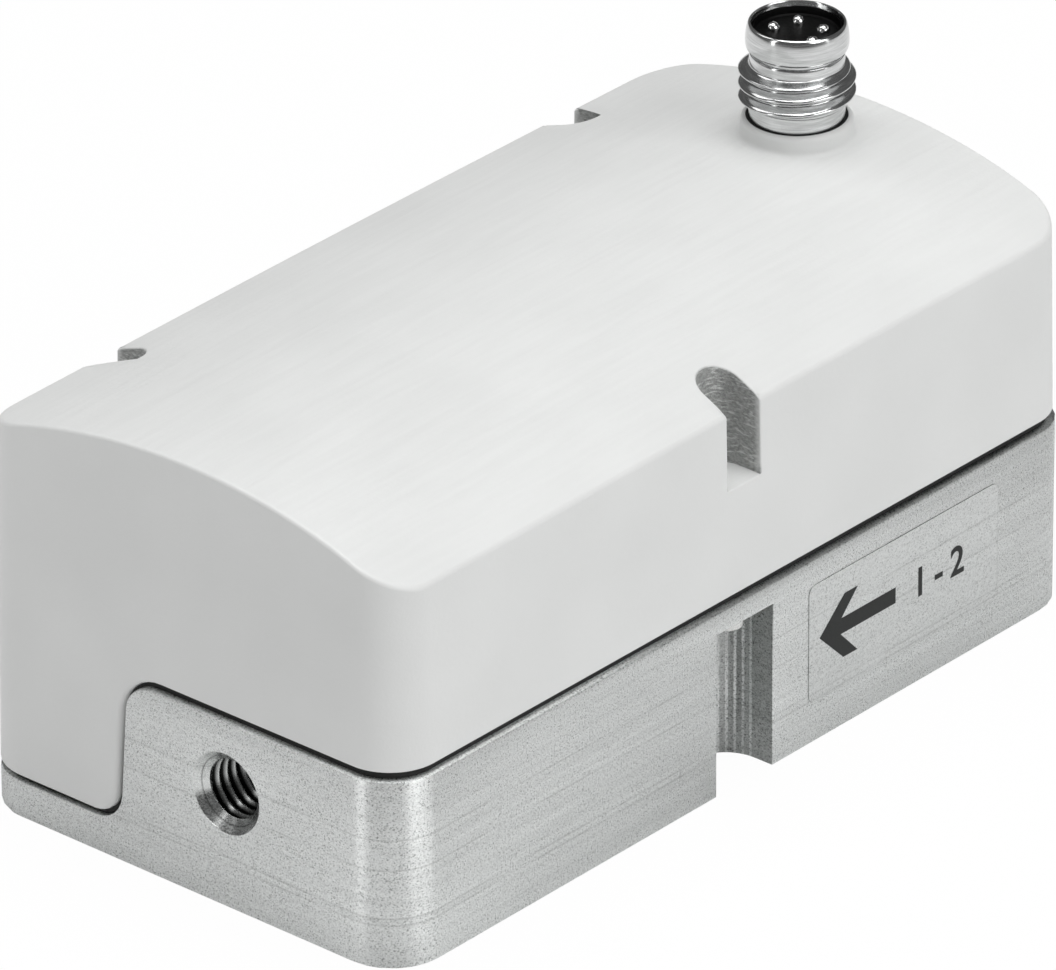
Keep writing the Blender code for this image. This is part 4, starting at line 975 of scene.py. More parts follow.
    def side_row(self, col: Columns, z: Values, notch: Values = 0.0, inset: Values = 0.0,
                 centre_x: Optional[Array] = None) -> Array:
        """One row of points on the side, partly or wholly let into the notches.

        A point is its column's anchor, moved out by the corner's radius less the draft, less the
        notch's depth there, and moved along the side to the notch's wall. The inset then moves it
        back into the material along the surface's own direction.

        Args:
            col: the columns.
            z: heights.
            notch: how far each column has gone into its notch, 0 to 1.
            inset: distance back from the surface.
            centre_x: the anchors' places across the body, if they are not those of the top.

        Returns:
            One point for each column.
        """
        centre_x = col.top_x if centre_x is None else centre_x
        drawn = self.taper(z)
        depth = notch * (col.deep + col.deep_share * (self.half_width - drawn - self.notch_axis))
        along = col.along_flat + notch * (col.along_notch - col.along_flat)
        reach = self.corner - drawn - depth
        mixed_x = (1 - notch) * col.out_x + notch * col.face_out * col.out_x
        mixed_y = (1 - notch) * col.out_y + notch * (col.face_out * col.out_y + col.face_along)
        return np.stack(np.broadcast_arrays(
            centre_x + col.out_x * reach - mixed_x * inset,
            col.anchor_y + along + col.out_y * reach - mixed_y * inset, z), axis=-1)

    def rim_rows(self, col: Columns) -> list[Array]:
        """Rows that roll round the rim's edge and climb to a level line over the step.

        On the roll of radius r, at the angle p, the point is r (1 - cos p) into the face and
        r (1 - sin p) behind it.

        Args:
            col: the columns.

        Returns:
            The rows.
        """
        rows = []
        for p in np.radians(np.linspace(0.0, 90.0, 6)):
            up, back = col.rim_round * (1 - math.cos(p)), col.rim_round * (1 - math.sin(p))
            rows.append(self.side_row(col, col.rim_z + col.into_z * up, 0.0, back,
                                      col.rim_x + col.into_x * up))
        start_x = col.rim_x + col.into_x * col.rim_round
        start_z = col.rim_z + col.into_z * col.rim_round
        for share in np.linspace(0.0, 1.0, 15)[1:] ** 1.3:
            rows.append(self.side_row(col, start_z + (self.level - start_z) * share, 0.0, 0.0,
                                      start_x + (col.top_x - start_x) * share))
        return rows

    def notch_rows(self, col: Columns) -> tuple[list[Array], list[Array]]:
        """Rows up to the notch floors, across them and up the notch walls to the crown's edge.

        The floor's outer edge and its foot are quarter circles. A column that goes nowhere keeps
        evenly spaced rows, and one that goes a short way lies between the two.

        Args:
            col: the columns.

        Returns:
            The rows, and for each row how much of a notch wall each point is, which sets its
            painted shade.
        """
        floor, outer, inner = self.notch_floor, self.floor_edge, self.floor_foot
        reach = self.half_width - self.floor_drawn - self.notch_axis
        travel = np.hypot(col.deep + col.deep_share * reach, col.along_notch - col.along_flat)
        share = np.clip(travel / (2 * outer), 0.0, 1.0)
        safe = np.maximum(travel, 1e-6)
        full = np.where(travel > 0, 1.0, 0.0)
        rows = [self.side_row(col, z) for z in np.linspace(self.level, floor - outer, 8)[1:]]
        marks = [np.zeros_like(travel)] * len(rows)
        steps = [(np.minimum(outer * (1 - math.cos(p)) / safe, 0.4),
                  floor - outer * (1 - math.sin(p))) for p in np.radians(np.linspace(0, 90, 5))]
        first, last = steps[-1][0], 1 - np.minimum(inner / safe, 0.4)
        steps += [(first + (last - first) * t, floor) for t in (0.25, 0.5, 0.75)]
        steps += [(1 - np.minimum(inner * (1 - math.sin(p)) / safe, 0.4),
                   floor + inner * (1 - math.cos(p))) for p in np.radians(np.linspace(0, 90, 4))]
        for number, (notch, z) in enumerate(steps, start=1):
            even = floor - outer + (outer + inner) * number / len(steps)
            height = even + (z - even) * share
            rows.append(self.side_row(col, height, notch * full))
            marks.append(np.where(z > floor + 1e-6, share * full, 0.0))
        # Painted shade on the walls: deeper notch columns are darker, and the shade fades out round
        # the rim.
        deep = np.clip(col.deep + 2 * col.deep_share, 0.0, 0.4) / 0.4
        top_z, base_z = self.crease_row(col, full, 0.0)[:, 2], rows[-1][:, 2]
        for t in np.linspace(0.0, 1.0, 9)[1:-1]:
            rows.append(self.side_row(col, base_z + (top_z - base_z) * t, full))
            marks.append(deep)
        for angle in np.radians(np.linspace(0.0, 90.0, 9)):
            rows.append(self.crease_row(col, full, float(angle)))
            marks.append(deep * (1 - math.sin(angle)))
        return rows, marks

    def crease_row(self, col: Columns, notch: Array, angle: float) -> Array:
        """One row of the rolled edge between the side and the crown.

        At the angle p of a roll of radius r, the point is r (1 - cos p) behind its face. It lies
        under the arch by the fall of the body's rolled edge that far behind the side and, on a
        notch's own small rim of radius q, by q (1 - sin p) more. The height and the draft there
        depend on each other, so they are worked out four times.

        Args:
            col: the columns.
            notch: 1 for a column in a notch, or else 0.
            angle: how far round the roll the row is.

        Returns:
            One point for each column.
        """
        z = np.full_like(col.rim_x, self.crease_guess)
        inset = col.edge_round * (1 - math.cos(angle))
        rim = self.notch_rim * (self.crease - col.edge_round) / (self.crease - self.notch_rim)
        for _ in range(4):
            row = self.side_row(col, z, notch, inset)
            reach = self.half_width - self.taper(z) - self.notch_axis
            behind = notch * (col.deep + col.deep_share * reach)
            behind = behind + inset * (1 - notch * (1 - col.face_out))
            z = self.crown_at(row[:, 0]) - self.fall(behind) - rim * (1 - math.sin(angle))
        row[:, 2] = z
        return row

    def fall(self, behind: Array) -> Array:
        """How far the body's rolled edge lies under the arch, at a distance behind the side."""
        left = 1 - np.clip(behind / self.crease, 0.0, 1.0)
        return self.crease * (1 - np.sqrt(1 - left ** 2))

    def crown_rows(self, edge: Array, spine_y: Array, drop: float, count: int) -> list[Array]:
        """Rows from an edge to the crown's middle line, each point set on the arch over its place.

        Args:
            edge: the row that they start from.
            spine_y: where each column ends on the middle line.
            drop: how far inside the outer surface they lie.
            count: how many rows.

        Returns:
            The rows.
        """
        rows = []
        side = self.half_width - self.taper(self.crease_height)
        for share in np.linspace(0.0, 1.0, count + 1)[1:] ** 1.8:
            x = edge[:, 0] * (1 - share)
            y = edge[:, 1] + (spine_y - edge[:, 1]) * share
            rolled = self.fall(side - np.abs(x)) if drop == 0.0 else 0.0
            rows.append(np.stack([x, y, self.crown_at(x, drop) - rolled], axis=-1))
        return rows

    def inside_rows(self, col: Columns) -> list[Array]:
        """Rows of the hollow inside, from the crown's middle line down to the rim.

        The inside is the outer surface moved in by the wall. Round a screw it stands off by the
        screw column's circle instead. The hollow's top edge is rolled in three rows.

        Args:
            col: the columns.

        Returns:
            The rows.
        """
        inset = np.full_like(col.rim_x, self.wall)
        for beside, off in self.screw_offsets(col):
            near = beside & (np.abs(off) < self.column_radius)
            circle = np.sqrt(np.maximum(self.column_radius ** 2 - off ** 2, 0.0))
            stood = self.half_width - self.column_wall - self.notch_axis + circle
            inset = np.maximum(inset, np.where(near, stood, 0.0))
        rows = [self.side_row(col, col.rim_z + (self.level - col.rim_z) * share, 0.0, inset,
                              col.rim_x + (col.top_x - col.rim_x) * share)
                for share in (0.0, 0.5, 1.0)]
        rows.append(self.side_row(col, self.hollow_straight, 0.0, inset))
        for roll, fall in self.hollow_rolls:
            row = self.side_row(col, self.hollow_edge, 0.0, inset + roll)
            row[:, 2] = self.crown_at(row[:, 0], self.wall) - fall
            rows.append(row)
        rows += self.crown_rows(rows[-1], col.spine_y, self.wall, 5)
        return rows[::-1]

    def build_shell(self) -> None:
        """Builds the shell as one closed grid: inside, rim, side, notches and crown.

        The swell grows over the side's upper part as a smooth step, 3 s squared less 2 s cubed.
        """
        col = self.all_columns()
        inside, rim = self.inside_rows(col), self.rim_rows(col)
        side, marks = self.notch_rows(col)
        crown = self.crown_rows(side[-1], col.spine_y, 0.0, 22)
        none = [np.zeros_like(col.rim_x)]
        marks = none * (len(inside) + len(rim)) + marks + none * len(crown)
        grid = np.stack(inside + rim + side + crown)
        share = np.clip((grid[..., 2] - self.swell_from) / self.swell_over, 0.0, 1.0)
        grid[..., 2] += self.swell(grid[..., 0], grid[..., 1]) * share ** 2 * (3 - 2 * share)
        skin = Skin("cover_shell").add_grid(grid, marks={"notch_wall": np.stack(marks)})
        piece = skin.build(COVER_PLASTIC, "cover_plastic", sharp=60.0)
        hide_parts("cover")

    def build_seal(self) -> None:
        """Builds the gasket, a frame set back under the stepped rim, thinner beside each screw.

        Each corner of its section is the rim's line moved away from the cover by a share of the
        seam's gap, and moved in from the side.
        """
        col = self.all_columns()
        level = np.where(col.rim_z < (self.rim_low + self.rim_high) / 2, self.seam_low,
                         self.seam_high)
        low = level + (self.seam_step - level) * np.abs(col.into_x) - self.seal_clear
        inner = np.full_like(level, self.seal_inner)
        for beside, off in self.screw_offsets(col):
            circle = np.sqrt(np.maximum(self.shank_clear ** 2 - off ** 2, 0.0))
            shank = self.half_width - self.notch_axis - circle
            near = beside & (np.abs(off) < self.shank_clear)
            inner = np.where(near, np.minimum(inner, shank), inner)
        rows = [self.side_row(col, col.rim_z - col.into_z * below, 0.0, inset,
                              col.rim_x - col.into_x * below)
                for inset, below in ((self.seal_outer, self.seal_clear), (self.seal_outer, low),
                                     (inner, low), (inner, self.seal_clear))]
        skin = Skin("stepped_gasket").add_grid(np.stack(rows), loop_rows=True)
        piece = skin.build(GASKET_RUBBER, "black_rubber")
        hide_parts("cover_seal")

    def build_boss(self) -> None:
        """Builds the connector's boss, whose foot flows into the crown.

        Over the fillet's angle p the point is r (1 - cos p) outside the boss and r (1 - sin p)
        over the crown at that place, so the foot meets it without a step all round.
        """
        angle = steps_round(128)
        seat, root = self.boss_top - self.seat_depth, self.crown - self.boss_root
        rings: list[tuple[float, Values]] = [(self.hole, root), (self.hole, seat),
                                             (self.ring_seat, seat)]
        start = math.asin((self.ring_seat - self.boss_radius + self.boss_edge) / self.boss_edge)
        rings += [(self.boss_radius - self.boss_edge * (1 - math.sin(p)),
                   self.boss_top - self.boss_edge * (1 - math.cos(p)))
                  for p in np.linspace(start, math.pi / 2, 7)]
        for p in np.linspace(0.0, math.pi / 2, 12):
            radius = self.boss_radius + self.boss_fillet * (1 - math.cos(p))
            x, y = radius * np.cos(angle), self.connector_y + radius * np.sin(angle)
            over = self.boss_fillet * (1 - math.sin(p))
            rings.append((radius, self.crown_at(x) + self.swell(x, y) + over))
        rings.append((self.boss_radius + self.boss_fillet, root))
        radii = np.array([[radius] for radius, _ in rings])
        heights = np.stack([np.broadcast_to(height, (128,)) for _, height in rings])
        grid = around(radii, heights, angle, 0.0, self.connector_y)
        skin = Skin("cover_boss").add_grid(grid, loop_rows=True,
                                           marks={"notch_wall": np.zeros(grid.shape[:2])})
        piece = skin.build(COVER_PLASTIC, "cover_plastic", sharp=60.0)
        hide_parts("cover")


# The base


@dataclass
class Base:
    """The milled base: its solid with fine broken edges, and the threads in its ports."""

    port_x: float = 3.73
    port_z: float = 8.45
    half_length: float = 34.65
    sink_radius: float = 2.95
    major: float = 2.5
    minor: float = 2.1
    pitch: float = 0.8
    depth: float = 6.3
    lead: float = 0.3
    clear: float = 0.02
    side: float = 18.5
    notch_x: float = 16.85
    notch_y: float = -0.2
    notch_radius: float = 2.89
    notch_roof: float = 12.14
    edge_break: float = 0.1

    def build_block(self) -> None:
        """Copies the base's solid, joins its triangles into whole faces and breaks the edges of the
        notch's mouth.
        """
        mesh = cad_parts["base_block"].data.copy()
        shape = bmesh.new()
        shape.from_mesh(mesh)
        bmesh.ops.remove_doubles(shape, verts=shape.verts, dist=2e-6)
        bmesh.ops.dissolve_limit(shape, angle_limit=math.radians(0.6), verts=shape.verts,
                                 edges=shape.edges)
        mouth = [edge for edge in shape.edges if all(
            abs(end.co.x / MM - self.side) < self.clear
            and abs(abs(end.co.y / MM - self.notch_y) - self.notch_radius) < self.clear
            for end in edge.verts)]
        log.info("notch mouth edges: %d", len(mouth))
        bmesh.ops.bevel(shape, geom=mouth, offset=self.edge_break * MM, segments=2, profile=0.5,
                        affect="EDGES", clamp_overlap=True)
        shape.to_mesh(mesh)
        shape.free()
        piece = finish_mesh("milled_base", mesh, MILLED_BASE, 32.0)
        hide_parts("base_block")

    def build_notch(self) -> None:
        """Builds the notch's finely curved wall, a thin U-shaped skin just inside the solid's.

        Seen from above, the line runs in from the side, round half a circle about the notch's axis
        and out again. The front and the back of the skin are that line at two radii.
        """
        half = np.linspace(-np.pi / 2, np.pi / 2, 49)
        front, back = self.notch_radius - 0.012, self.notch_radius - 0.002
        high, low = self.notch_roof - 0.01, 0.01
        straight = [self.side - 0.1, self.notch_x + 0.5]
        rows = []
        for radius, height in ((front, high), (front, low), (back, low), (back, high)):
            x = np.concatenate([straight, self.notch_x - radius * np.cos(half), straight[::-1]])
            y = np.concatenate([[-radius] * 2, radius * np.sin(half), [radius] * 2])
            rows.append(np.stack([x, self.notch_y + y, np.full_like(x, height)], axis=-1))
        grid = np.stack(rows)
        skin = Skin("base_notch_wall").add_grid(grid, loop_rows=True, loop_columns=False)
        for column in (0, -1):
            skin.add_grid(grid[[[0, 1], [3, 2]], column], loop_columns=False)
        # Its finish is painted darker as shade in the notch.
        skin.build(SHADED_NOTCH_ALUMINIUM, "machined_aluminium", sharp=50.0)

    def build_thread(self, end: float, name: str) -> None:
        """Builds one tapped right-hand thread, which steps in and out along a helix.

        At the depth d and angle a, the radius is the greater of the sink's cone and the thread.
        The thread goes from the minor radius to the major one and back as its phase runs from one
        whole number to the next. The phase is d over the pitch, with a over a full turn added at
        the outlet and taken off at the inlet, and a fixed lead. The grooves are marked for painted
        shade, and so is a thin ring at the sink's lip.

        Args:
            end: -1 for the outlet, 1 for the inlet.
            name: the piece's name.
        """
        lip = self.sink_radius - self.major
        depth = np.concatenate([np.linspace(0.0, lip, 8),
                                np.linspace(lip + self.clear, self.depth, 190)])[:, None]
        angle = steps_round(128)
        phase = (depth / self.pitch - end * angle / FULL_TURN + self.lead) % 1.0
        tooth = np.clip((1 - 2 * np.abs(phase - 0.5) - 0.1) / 0.74, 0.0, 1.0)
        begun = np.clip((depth - (self.sink_radius - self.minor)) / 0.12, 0.0, 1.0)
        thread = self.minor + (self.major - 0.03 - self.minor) * tooth * begun
        cone = self.sink_radius - self.clear - depth
        radius = np.minimum(np.maximum(cone, thread), np.maximum(self.major - self.clear, cone))
        # Painted shade: this mark darkens the grooves and a thin ring at the sink's lip.
        groove = np.clip(1.5 * tooth, 0.0, 1.0) * begun
        groove = groove + 0.75 * np.clip(1 - np.abs(depth - lip - 0.01) / 0.035, 0.0, 1.0)
        backs = np.array([(self.depth, self.major - 0.012), (lip, self.major - 0.012),
                          (0.0, self.sink_radius - 0.008)])
        radii = np.concatenate([radius, backs[:, 1:].repeat(128, 1)])
        depths = np.concatenate([depth, backs[:, :1]])
        across = around(radii, end * (self.half_length - depths), angle, self.port_x, self.port_z)
        groove = np.concatenate([groove, np.zeros((len(backs), 128))])
        skin = Skin(name).add_grid(across[..., [0, 2, 1]], loop_rows=True,
                                   marks={"groove": groove})
        skin.build(TURNED_THREAD, "machined_aluminium", sharp=70.0)


# The connector


@dataclass
class Connector:
    """The M8 plug: threaded nickel shell, black insert, four pins and the ring at its foot."""

    y: float = 27.06
    boss_top: float = 32.95
    crest: float = 3.97
    root: float = 3.37
    pitch: float = 1.0
    thread_low: float = 34.15
    thread_high: float = 36.9
    phase: float = 0.25
    face: float = 38.9
    pin_circle: float = 1.78
    pin_angles: tuple[float, ...] = (195.0, 128.0, 52.0, -15.0)
    pin_radius: float = 0.47

    def shell_outside(self) -> tuple[Array, Array]:
        """Heights down the shell's outside and its plain radius at each, thread left out.

        Returns:
            The heights and the radii.
        """
        places = np.array([
            (3.16, 39.85), (3.24, 39.83), (3.31, 39.76), (3.36, 39.62), (3.43, 39.3),
            (3.48, 38.95), (3.5, 38.6), (3.49, 38.3), (3.44, 38.08), (3.36, 37.95), (3.27, 37.89),
            (3.2, 37.87), (3.06, 37.86), (3.04, 37.76), (3.06, 37.66), (3.19, 37.65),
            (3.22, 37.61), (3.23, 37.3), (3.23, 36.85), (3.28, 36.7), (3.34, 36.55), (3.37, 36.4),
            (3.37, 34.3), (3.36, 34.1), (3.27, 34.0), (3.27, 33.0), (3.27, 30.0)])
        z = np.concatenate([places[:18, 1], np.linspace(37.2, 33.9, 110), [33.6, 33.2, 30.0]])
        return z, np.interp(-z, -places[:, 1], places[:, 0])

    def build_shell(self) -> None:
        """Builds the shell with its helical thread.

        Between its two ends the thread lifts the radius by its depth times a rounded tooth of the
        phase, which is height over pitch less the angle over a full turn. The lift fades out over
        a third of a turn at each end.
        """
        z, plain = (values[:, None] for values in self.shell_outside())
        angle = steps_round(192)
        phase = (z / self.pitch - angle / FULL_TURN - self.phase) % 1.0
        tooth = np.clip((1 - 2 * np.abs(phase - 0.5) - 0.06) / 0.86, 0.0, 1.0)
        tooth = tooth - 0.06 * np.sin(FULL_TURN * tooth)
        fade = np.clip((self.thread_high - z) / 0.35, 0, 1)
        fade = fade * np.clip((z - self.thread_low) / 0.25, 0, 1)
        inside = np.array([(2.75, 30.0), (2.75, 36.5), (3.02, 36.6), (3.02, 39.42), (3.06, 39.55),
                           (3.11, 39.75), (3.13, 39.82)])
        radius = np.concatenate([plain + (self.crest - self.root) * tooth * fade,
                                 inside[:, :1].repeat(192, 1)])
        height = np.concatenate([z, inside[:, 1:]])
        skin = Skin("plug_shell").add_grid(around(radius, height, angle, 0.0, self.y),
                                           loop_rows=True)
        piece = skin.build(NICKEL, "nickel_plate", sharp=50.0)
        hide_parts("connector_shell")

    def build_insert(self) -> None:
        """Builds the insert, turned, whose thin black rim lines the shell's mouth."""
        face = self.face
        profile = np.array([(0.0, face - 0.02), (1.2, face - 0.02), (2.6, face - 0.02), (2.8, face),
                            (2.9, face + 0.1), (2.94, 39.4), (2.96, 39.47), (2.99, 39.45),
                            (2.99, 36.7), (2.65, 36.7), (2.65, 27.2), (0.0, 27.2)])
        skin = Skin("plug_insert").add_grid(turned(profile, 0.0, self.y))
        piece = skin.build(INSERT_NYLON, "black_plastic", sharp=35.0)
        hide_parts("connector_insert")

    def build_pin(self, number: int, angle: float) -> None:
        """Builds one contact pin with its domed end.

        Args:
            number: which pin.
            angle: its place round the axis, in degrees.
        """
        bend, radius = np.radians(np.linspace(90.0, 0.0, 12)), self.pin_radius
        dome = np.stack([radius * np.cos(bend), self.face + radius * np.sin(bend)], axis=-1)
        shank = [(radius, self.face - 0.5), (radius, 25.0), (0.28, 24.8), (0.0, 24.8)]
        x = self.pin_circle * math.cos(math.radians(angle))
        y = self.y + self.pin_circle * math.sin(math.radians(angle))
        skin = Skin(f"plug_pin_{number}").add_grid(turned(np.concatenate([dome, shank]), x, y, 40))
        piece = skin.build(PIN_PLATE, "pin_plate")
        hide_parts(f"contact_pin_{number}")

    def build_ring(self) -> None:
        """Builds the rubber ring that shows between the shell's foot and the boss."""
        low, high = self.boss_top - 0.37, self.boss_top - 0.03
        profile = softened([(3.28, high, 0.04), (3.45, high, 0.04), (3.45, low, 0.03),
                            (3.28, low, 0.03)])
        skin = Skin("plug_ring").add_grid(turned(profile, 0.0, self.y, 128), loop_rows=True)
        piece = skin.build(GASKET_RUBBER, "black_rubber")
        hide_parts("connector_seal")


# The cover's screws


@dataclass
class CoverScrews:
    """The three cheese-head screws under the cover, with a six-sided drive in each head."""

    axes: tuple[tuple[float, float], ...] = ((16.85, -0.2), (-16.85, -22.4), (-16.85, 23.1))
    head_tops: tuple[float, ...] = (12.04, 1.34, 1.34)
    tips: tuple[float, ...] = (18.67, 7.74, 7.74)
    head: float = 1.25
    head_height: float = 0.75
    shank: float = 0.8
    socket: float = 0.72
    drive_depth: float = 0.5

    def build(self, number: int) -> None:
        """Builds one screw.

        The rings of the drive are six-sided: at the angle a their radius is the flats' distance
        over the cosine of a's offset from the nearest flat. All other rings are round.

        Args:
            number: which screw, from 1.
        """
        (x, y), top, tip = self.axes[number - 1], self.head_tops[number - 1], self.tips[number - 1]
        low = top - self.head_height
        angle = steps_round(72)
        flats = self.socket / np.cos((angle + np.pi / 6) % (np.pi / 3) - np.pi / 6)
        bottom = low + self.drive_depth
        rings = [(0.0, bottom), (flats, bottom), (flats, low + 0.02), (self.socket + 0.12, low),
                 (self.head - 0.16, low), (self.head - 0.05, low + 0.05), (self.head, low + 0.18),
                 (self.head, top - 0.04), (self.head - 0.04, top), (self.shank, top),
                 (self.shank, tip - 0.6), (0.45, tip), (0.0, tip)]
        radii = np.stack([np.broadcast_to(radius, (72,)) for radius, _ in rings])
        heights = np.array([[height] for _, height in rings])
        skin = Skin(f"cheese_head_screw_{number}").add_grid(around(radii, heights, angle, x, y))
        piece = skin.build(SCREW_STEEL, "steel", sharp=35.0)
        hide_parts(f"cover_screw_{number}")


# The label


@dataclass
class Label:
    """The clear label on the right side, with a plain flow arrow and port numbers."""

    side: float = 18.5
    low: tuple[float, float] = (6.28, 3.0)
    high: tuple[float, float] = (26.05, 11.83)
    corner: float = 0.75
    film: float = 0.05
    ink: float = 0.012
    numbers: str = "1 - 2"
    number_size: float = 3.05
    number_place: tuple[float, float] = (19.8, 6.55)

    def build_film(self) -> None:
        """Builds the film: rings of its rounded outline from its back to its front's middle."""
        (y0, z0), (y1, z1) = self.low, self.high
        outline = softened([(y, z, self.corner)
                            for y, z in ((y0, z0), (y1, z0), (y1, z1), (y0, z1))], 9)
        centre = np.array([(y0 + y1) / 2, (z0 + z1) / 2])
        layers = ((0.0, -0.01, 0.0), (1.0, -0.01, 0.0), (1.0, 0.7 * self.film, 0.6),
                  (0.9985, self.film, 0.45), (0.994, self.film, 0.0), (0.0, self.film, 0.0))
        grid = np.stack([np.insert(centre + (outline - centre) * size, 0, self.side + out, axis=1)
                         for size, out, _ in layers])
        # Painted shade: the edge rings get the mark that darkens them.
        edge = np.stack([np.full(len(outline), value) for _, _, value in layers])
        skin = Skin("label_film").add_grid(grid, marks={"film_edge": edge})
        skin.build(LABEL_FILM, "machined_aluminium", sharp=30.0)

    def build_arrow(self) -> None:
        """Builds the arrow, a flat shape with a swept head, standing on the film by its ink."""
        outline = np.array([(7.38, 7.6), (9.85, 5.19), (11.31, 5.19), (9.56, 7.02), (15.27, 7.02),
                            (15.27, 8.2), (9.62, 8.2), (11.31, 9.97), (9.95, 9.97)])
        count = len(outline)
        front = np.insert(outline, 0, self.side + self.film + self.ink, axis=1)
        back = front - np.array([self.ink + 0.01, 0.0, 0.0])
        mesh = bpy.data.meshes.new("flow_arrow")
        walls = [(i, (i + 1) % count, (i + 1) % count + count, i + count) for i in range(count)]
        mesh.from_pydata((np.concatenate([front, back]) * MM).tolist(), [],
                         [tuple(range(count)), tuple(range(2 * count - 1, count - 1, -1))] + walls)
        finish_mesh("flow_arrow", mesh, LABEL_INK, 30.0)

    def build_numbers(self) -> None:
        """Builds plain port numbers from Blender's own font, turned to face out of the side."""
        curve = bpy.data.curves.new("port_numbers", "FONT")
        curve.body = self.numbers
        curve.size = self.number_size * MM
        curve.offset = 0.05 * MM
        curve.extrude = self.ink * MM / 2
        curve.align_x = "CENTER"
        curve.space_character = 0.95
        source = add_object("port_numbers_text", curve)
        bpy.context.view_layer.update()
        graph = bpy.context.evaluated_depsgraph_get()
        mesh = bpy.data.meshes.new_from_object(source.evaluated_get(graph))
        bpy.data.objects.remove(source, do_unlink=True)
        bpy.data.curves.remove(curve)
        facing = Matrix(((0.0, 0.0, 1.0), (1.0, 0.0, 0.0), (0.0, 1.0, 0.0))).to_4x4()
        place = Vector((self.side + self.film + self.ink / 2, *self.number_place)) * MM
        mesh.transform(Matrix.Translation(place) @ facing)
        mesh.name = "port_numbers"
        finish_mesh("port_numbers", mesh, LABEL_INK, 30.0)


# The studio


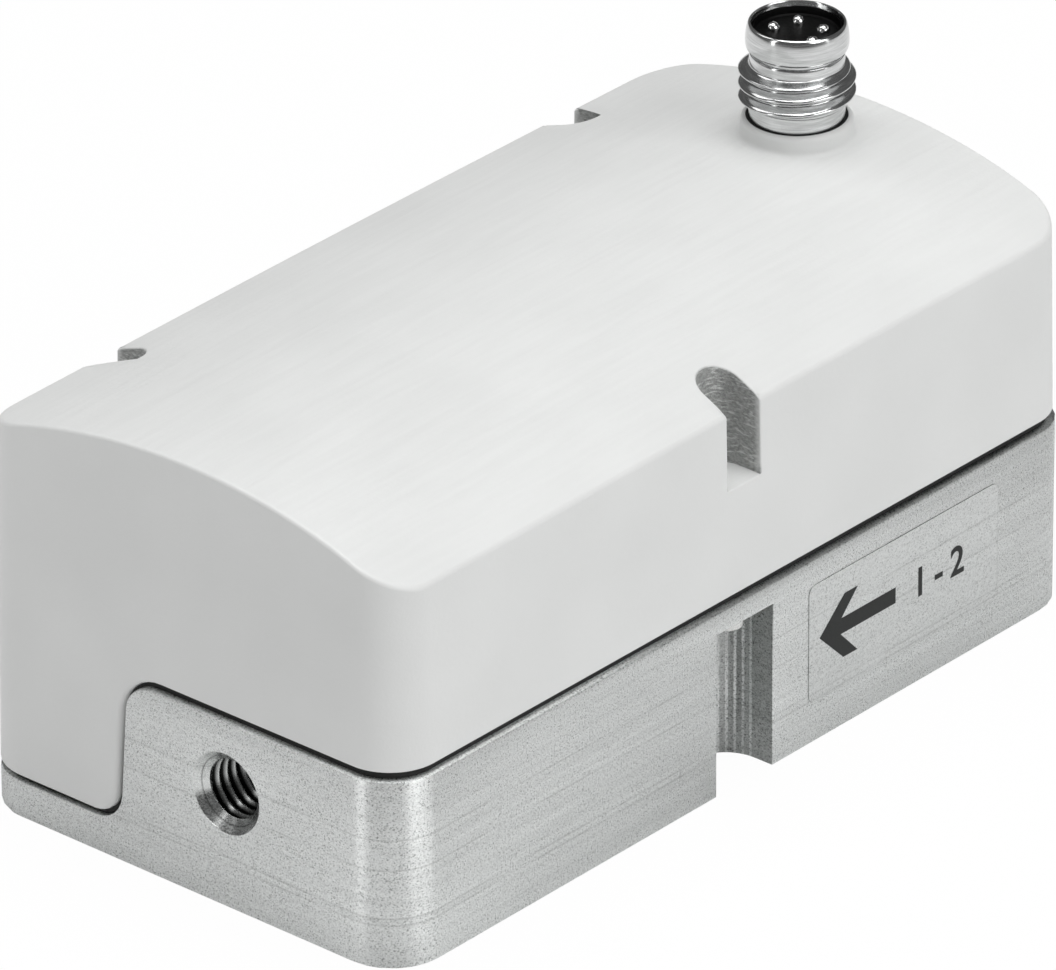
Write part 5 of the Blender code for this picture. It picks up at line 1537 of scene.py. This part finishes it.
@dataclass
class Studio:
    """The pale floor, the soft lamps and the camera. The lamps' places and sizes are in metres."""

    eye: Triple = (478.27866, -547.95767, 401.30838)
    focal_px: float = 12433.418
    image_px: float = 1056.0
    sensor_mm: float = 36.0
    right: Triple = (0.754938713762183, 0.6557726566450327, -0.005455388145394164)
    down: Triple = (0.30354803570035344, -0.35680038562681315, -0.883488582178069)
    ahead: Triple = (-0.581314139244486, 0.6653237614975688, -0.4684209259855591)
    target: Triple = (0.0, 0.0, 0.02)
    fill: float = 0.12
    floor_seen: float = 0.97
    floor_half: float = 4.0
    lamps: tuple[tuple[str, Triple, tuple[float, float], float], ...] = (
        ("overhead_softbox", (0.0, 0.05, 1.1), (0.8, 0.8), 8.7),
        ("side_softbox", (1.0, 0.05, 0.7), (0.7, 0.7), 5.2),
        ("left_softbox", (-0.62, -0.2, 0.85), (0.45, 0.45), 1.2),
        ("outlet_strip", (-0.26, -0.96, 0.42), (0.16, 0.9), 1.2),
        ("right_strip", (0.93, 0.36, 0.42), (0.14, 0.9), 0.5))

    def build_camera(self) -> None:
        """Puts the camera where the photograph was taken from."""
        data = bpy.data.cameras.new("studio_camera")
        data.sensor_fit = "HORIZONTAL"
        data.sensor_width = self.sensor_mm
        data.lens = self.focal_px / self.image_px * self.sensor_mm
        data.clip_start, data.clip_end = 0.01, 50.0
        axes = np.array([self.right, -np.array(self.down), -np.array(self.ahead)]).T
        camera = add_object("studio_camera", data)
        camera.matrix_world = (Matrix.Translation(Vector(self.eye) * MM)
                               @ Matrix(axes.tolist()).to_4x4())
        bpy.context.scene.camera = camera

    def whitened(self, tree: Tree, lit: Socket, kind: str, share: float) -> Socket:
        """Adds plain white to a shader for the rays that come from the camera.

        Args:
            tree: the node tree.
            lit: the shader that all other rays meet.
            kind: the node that makes the white.
            share: how much of it the camera sees.

        Returns:
            The mixed shader.
        """
        white = add_node(tree, kind, {"Color": (1.0, 1.0, 1.0, 1.0), "Strength": 1.0})
        camera_ray = add_node(tree, "LightPath", output="Is Camera Ray")
        seen = add_node(tree, "Math", {0: camera_ray, 1: share}, operation="MULTIPLY")
        return add_node(tree, "MixShader", {0: seen, 1: lit, 2: white})

    def build_floor(self) -> None:
        """Lays a pale floor that the camera sees as near white, with the object's soft shadow."""
        material = bpy.data.materials.new("paper_sweep")
        material.use_nodes = True
        tree = material.node_tree
        tree.nodes.clear()
        paper = add_node(tree, "BsdfDiffuse", {"Color": srgb("#f1f1f1")})
        mixed = self.whitened(tree, paper, "Emission", self.floor_seen)
        add_node(tree, "OutputMaterial", {"Surface": mixed})
        mesh = bpy.data.meshes.new("floor")
        mesh.from_pydata([(x * self.floor_half, y * self.floor_half, -0.02 * MM)
                          for x, y in ((-1, -1), (1, -1), (1, 1), (-1, 1))], [], [(0, 1, 2, 3)])
        mesh.materials.append(material)
        add_object("floor", mesh)

    def build_world(self) -> None:
        """Fills the room with even light, and shows white behind the floor."""
        world = bpy.data.worlds.new("studio")
        world.use_nodes = True
        tree = world.node_tree
        tree.nodes.clear()
        fill = add_node(tree, "Background",
                        {"Color": (1.0, 1.0, 1.0, 1.0), "Strength": self.fill})
        mixed = self.whitened(tree, fill, "Background", 1.0)
        add_node(tree, "OutputWorld", {"Surface": mixed})
        bpy.context.scene.world = world

    def build_lamps(self) -> None:
        """Hangs the softboxes and strips, each facing the object."""
        for name, place, size, watts in self.lamps:
            data = bpy.data.lights.new(name, "AREA")
            data.shape = "RECTANGLE"
            data.size, data.size_y = size
            data.energy = watts
            lamp = add_object(name, data)
            lamp.location = place
            lamp.rotation_mode = "QUATERNION"
            towards = Vector(self.target) - Vector(place)
            lamp.rotation_quaternion = towards.to_track_quat("-Z", "Y")

    def build(self) -> None:
        """Sets up the whole studio."""
        self.build_camera()
        self.build_floor()
        self.build_world()
        self.build_lamps()
        bpy.context.scene.view_settings.view_transform = "Standard"


def dress_solids() -> None:
    """Gives the solids that keep their own meshes their materials."""
    for kind, names in INNER_PIECES.items():
        for name in names:
            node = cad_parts[name]
            node.data.materials.clear()
            node.data.materials.append(kind.value.make())
            log.info("%s: %s", name, kind.value.name)


def main() -> None:
    """Builds every piece in order, then the studio, and logs each piece's face count."""
    logging.basicConfig(level=logging.INFO, format="%(message)s")
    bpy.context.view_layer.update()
    dress_solids()
    cover = Cover()
    cover.build_shell()
    cover.build_boss()
    cover.build_seal()
    base = Base()
    base.build_block()
    base.build_notch()
    base.build_thread(-1.0, "outlet_thread")
    base.build_thread(1.0, "inlet_thread")
    plug = Connector()
    plug.build_shell()
    plug.build_insert()
    plug.build_ring()
    for number, angle in enumerate(plug.pin_angles, start=1):
        plug.build_pin(number, angle)
    screws = CoverScrews()
    for number in range(1, len(screws.axes) + 1):
        screws.build(number)
    label = Label()
    label.build_film()
    label.build_arrow()
    label.build_numbers()
    Studio().build()
    bpy.context.view_layer.update()


if __name__ == "__main__":
    main()
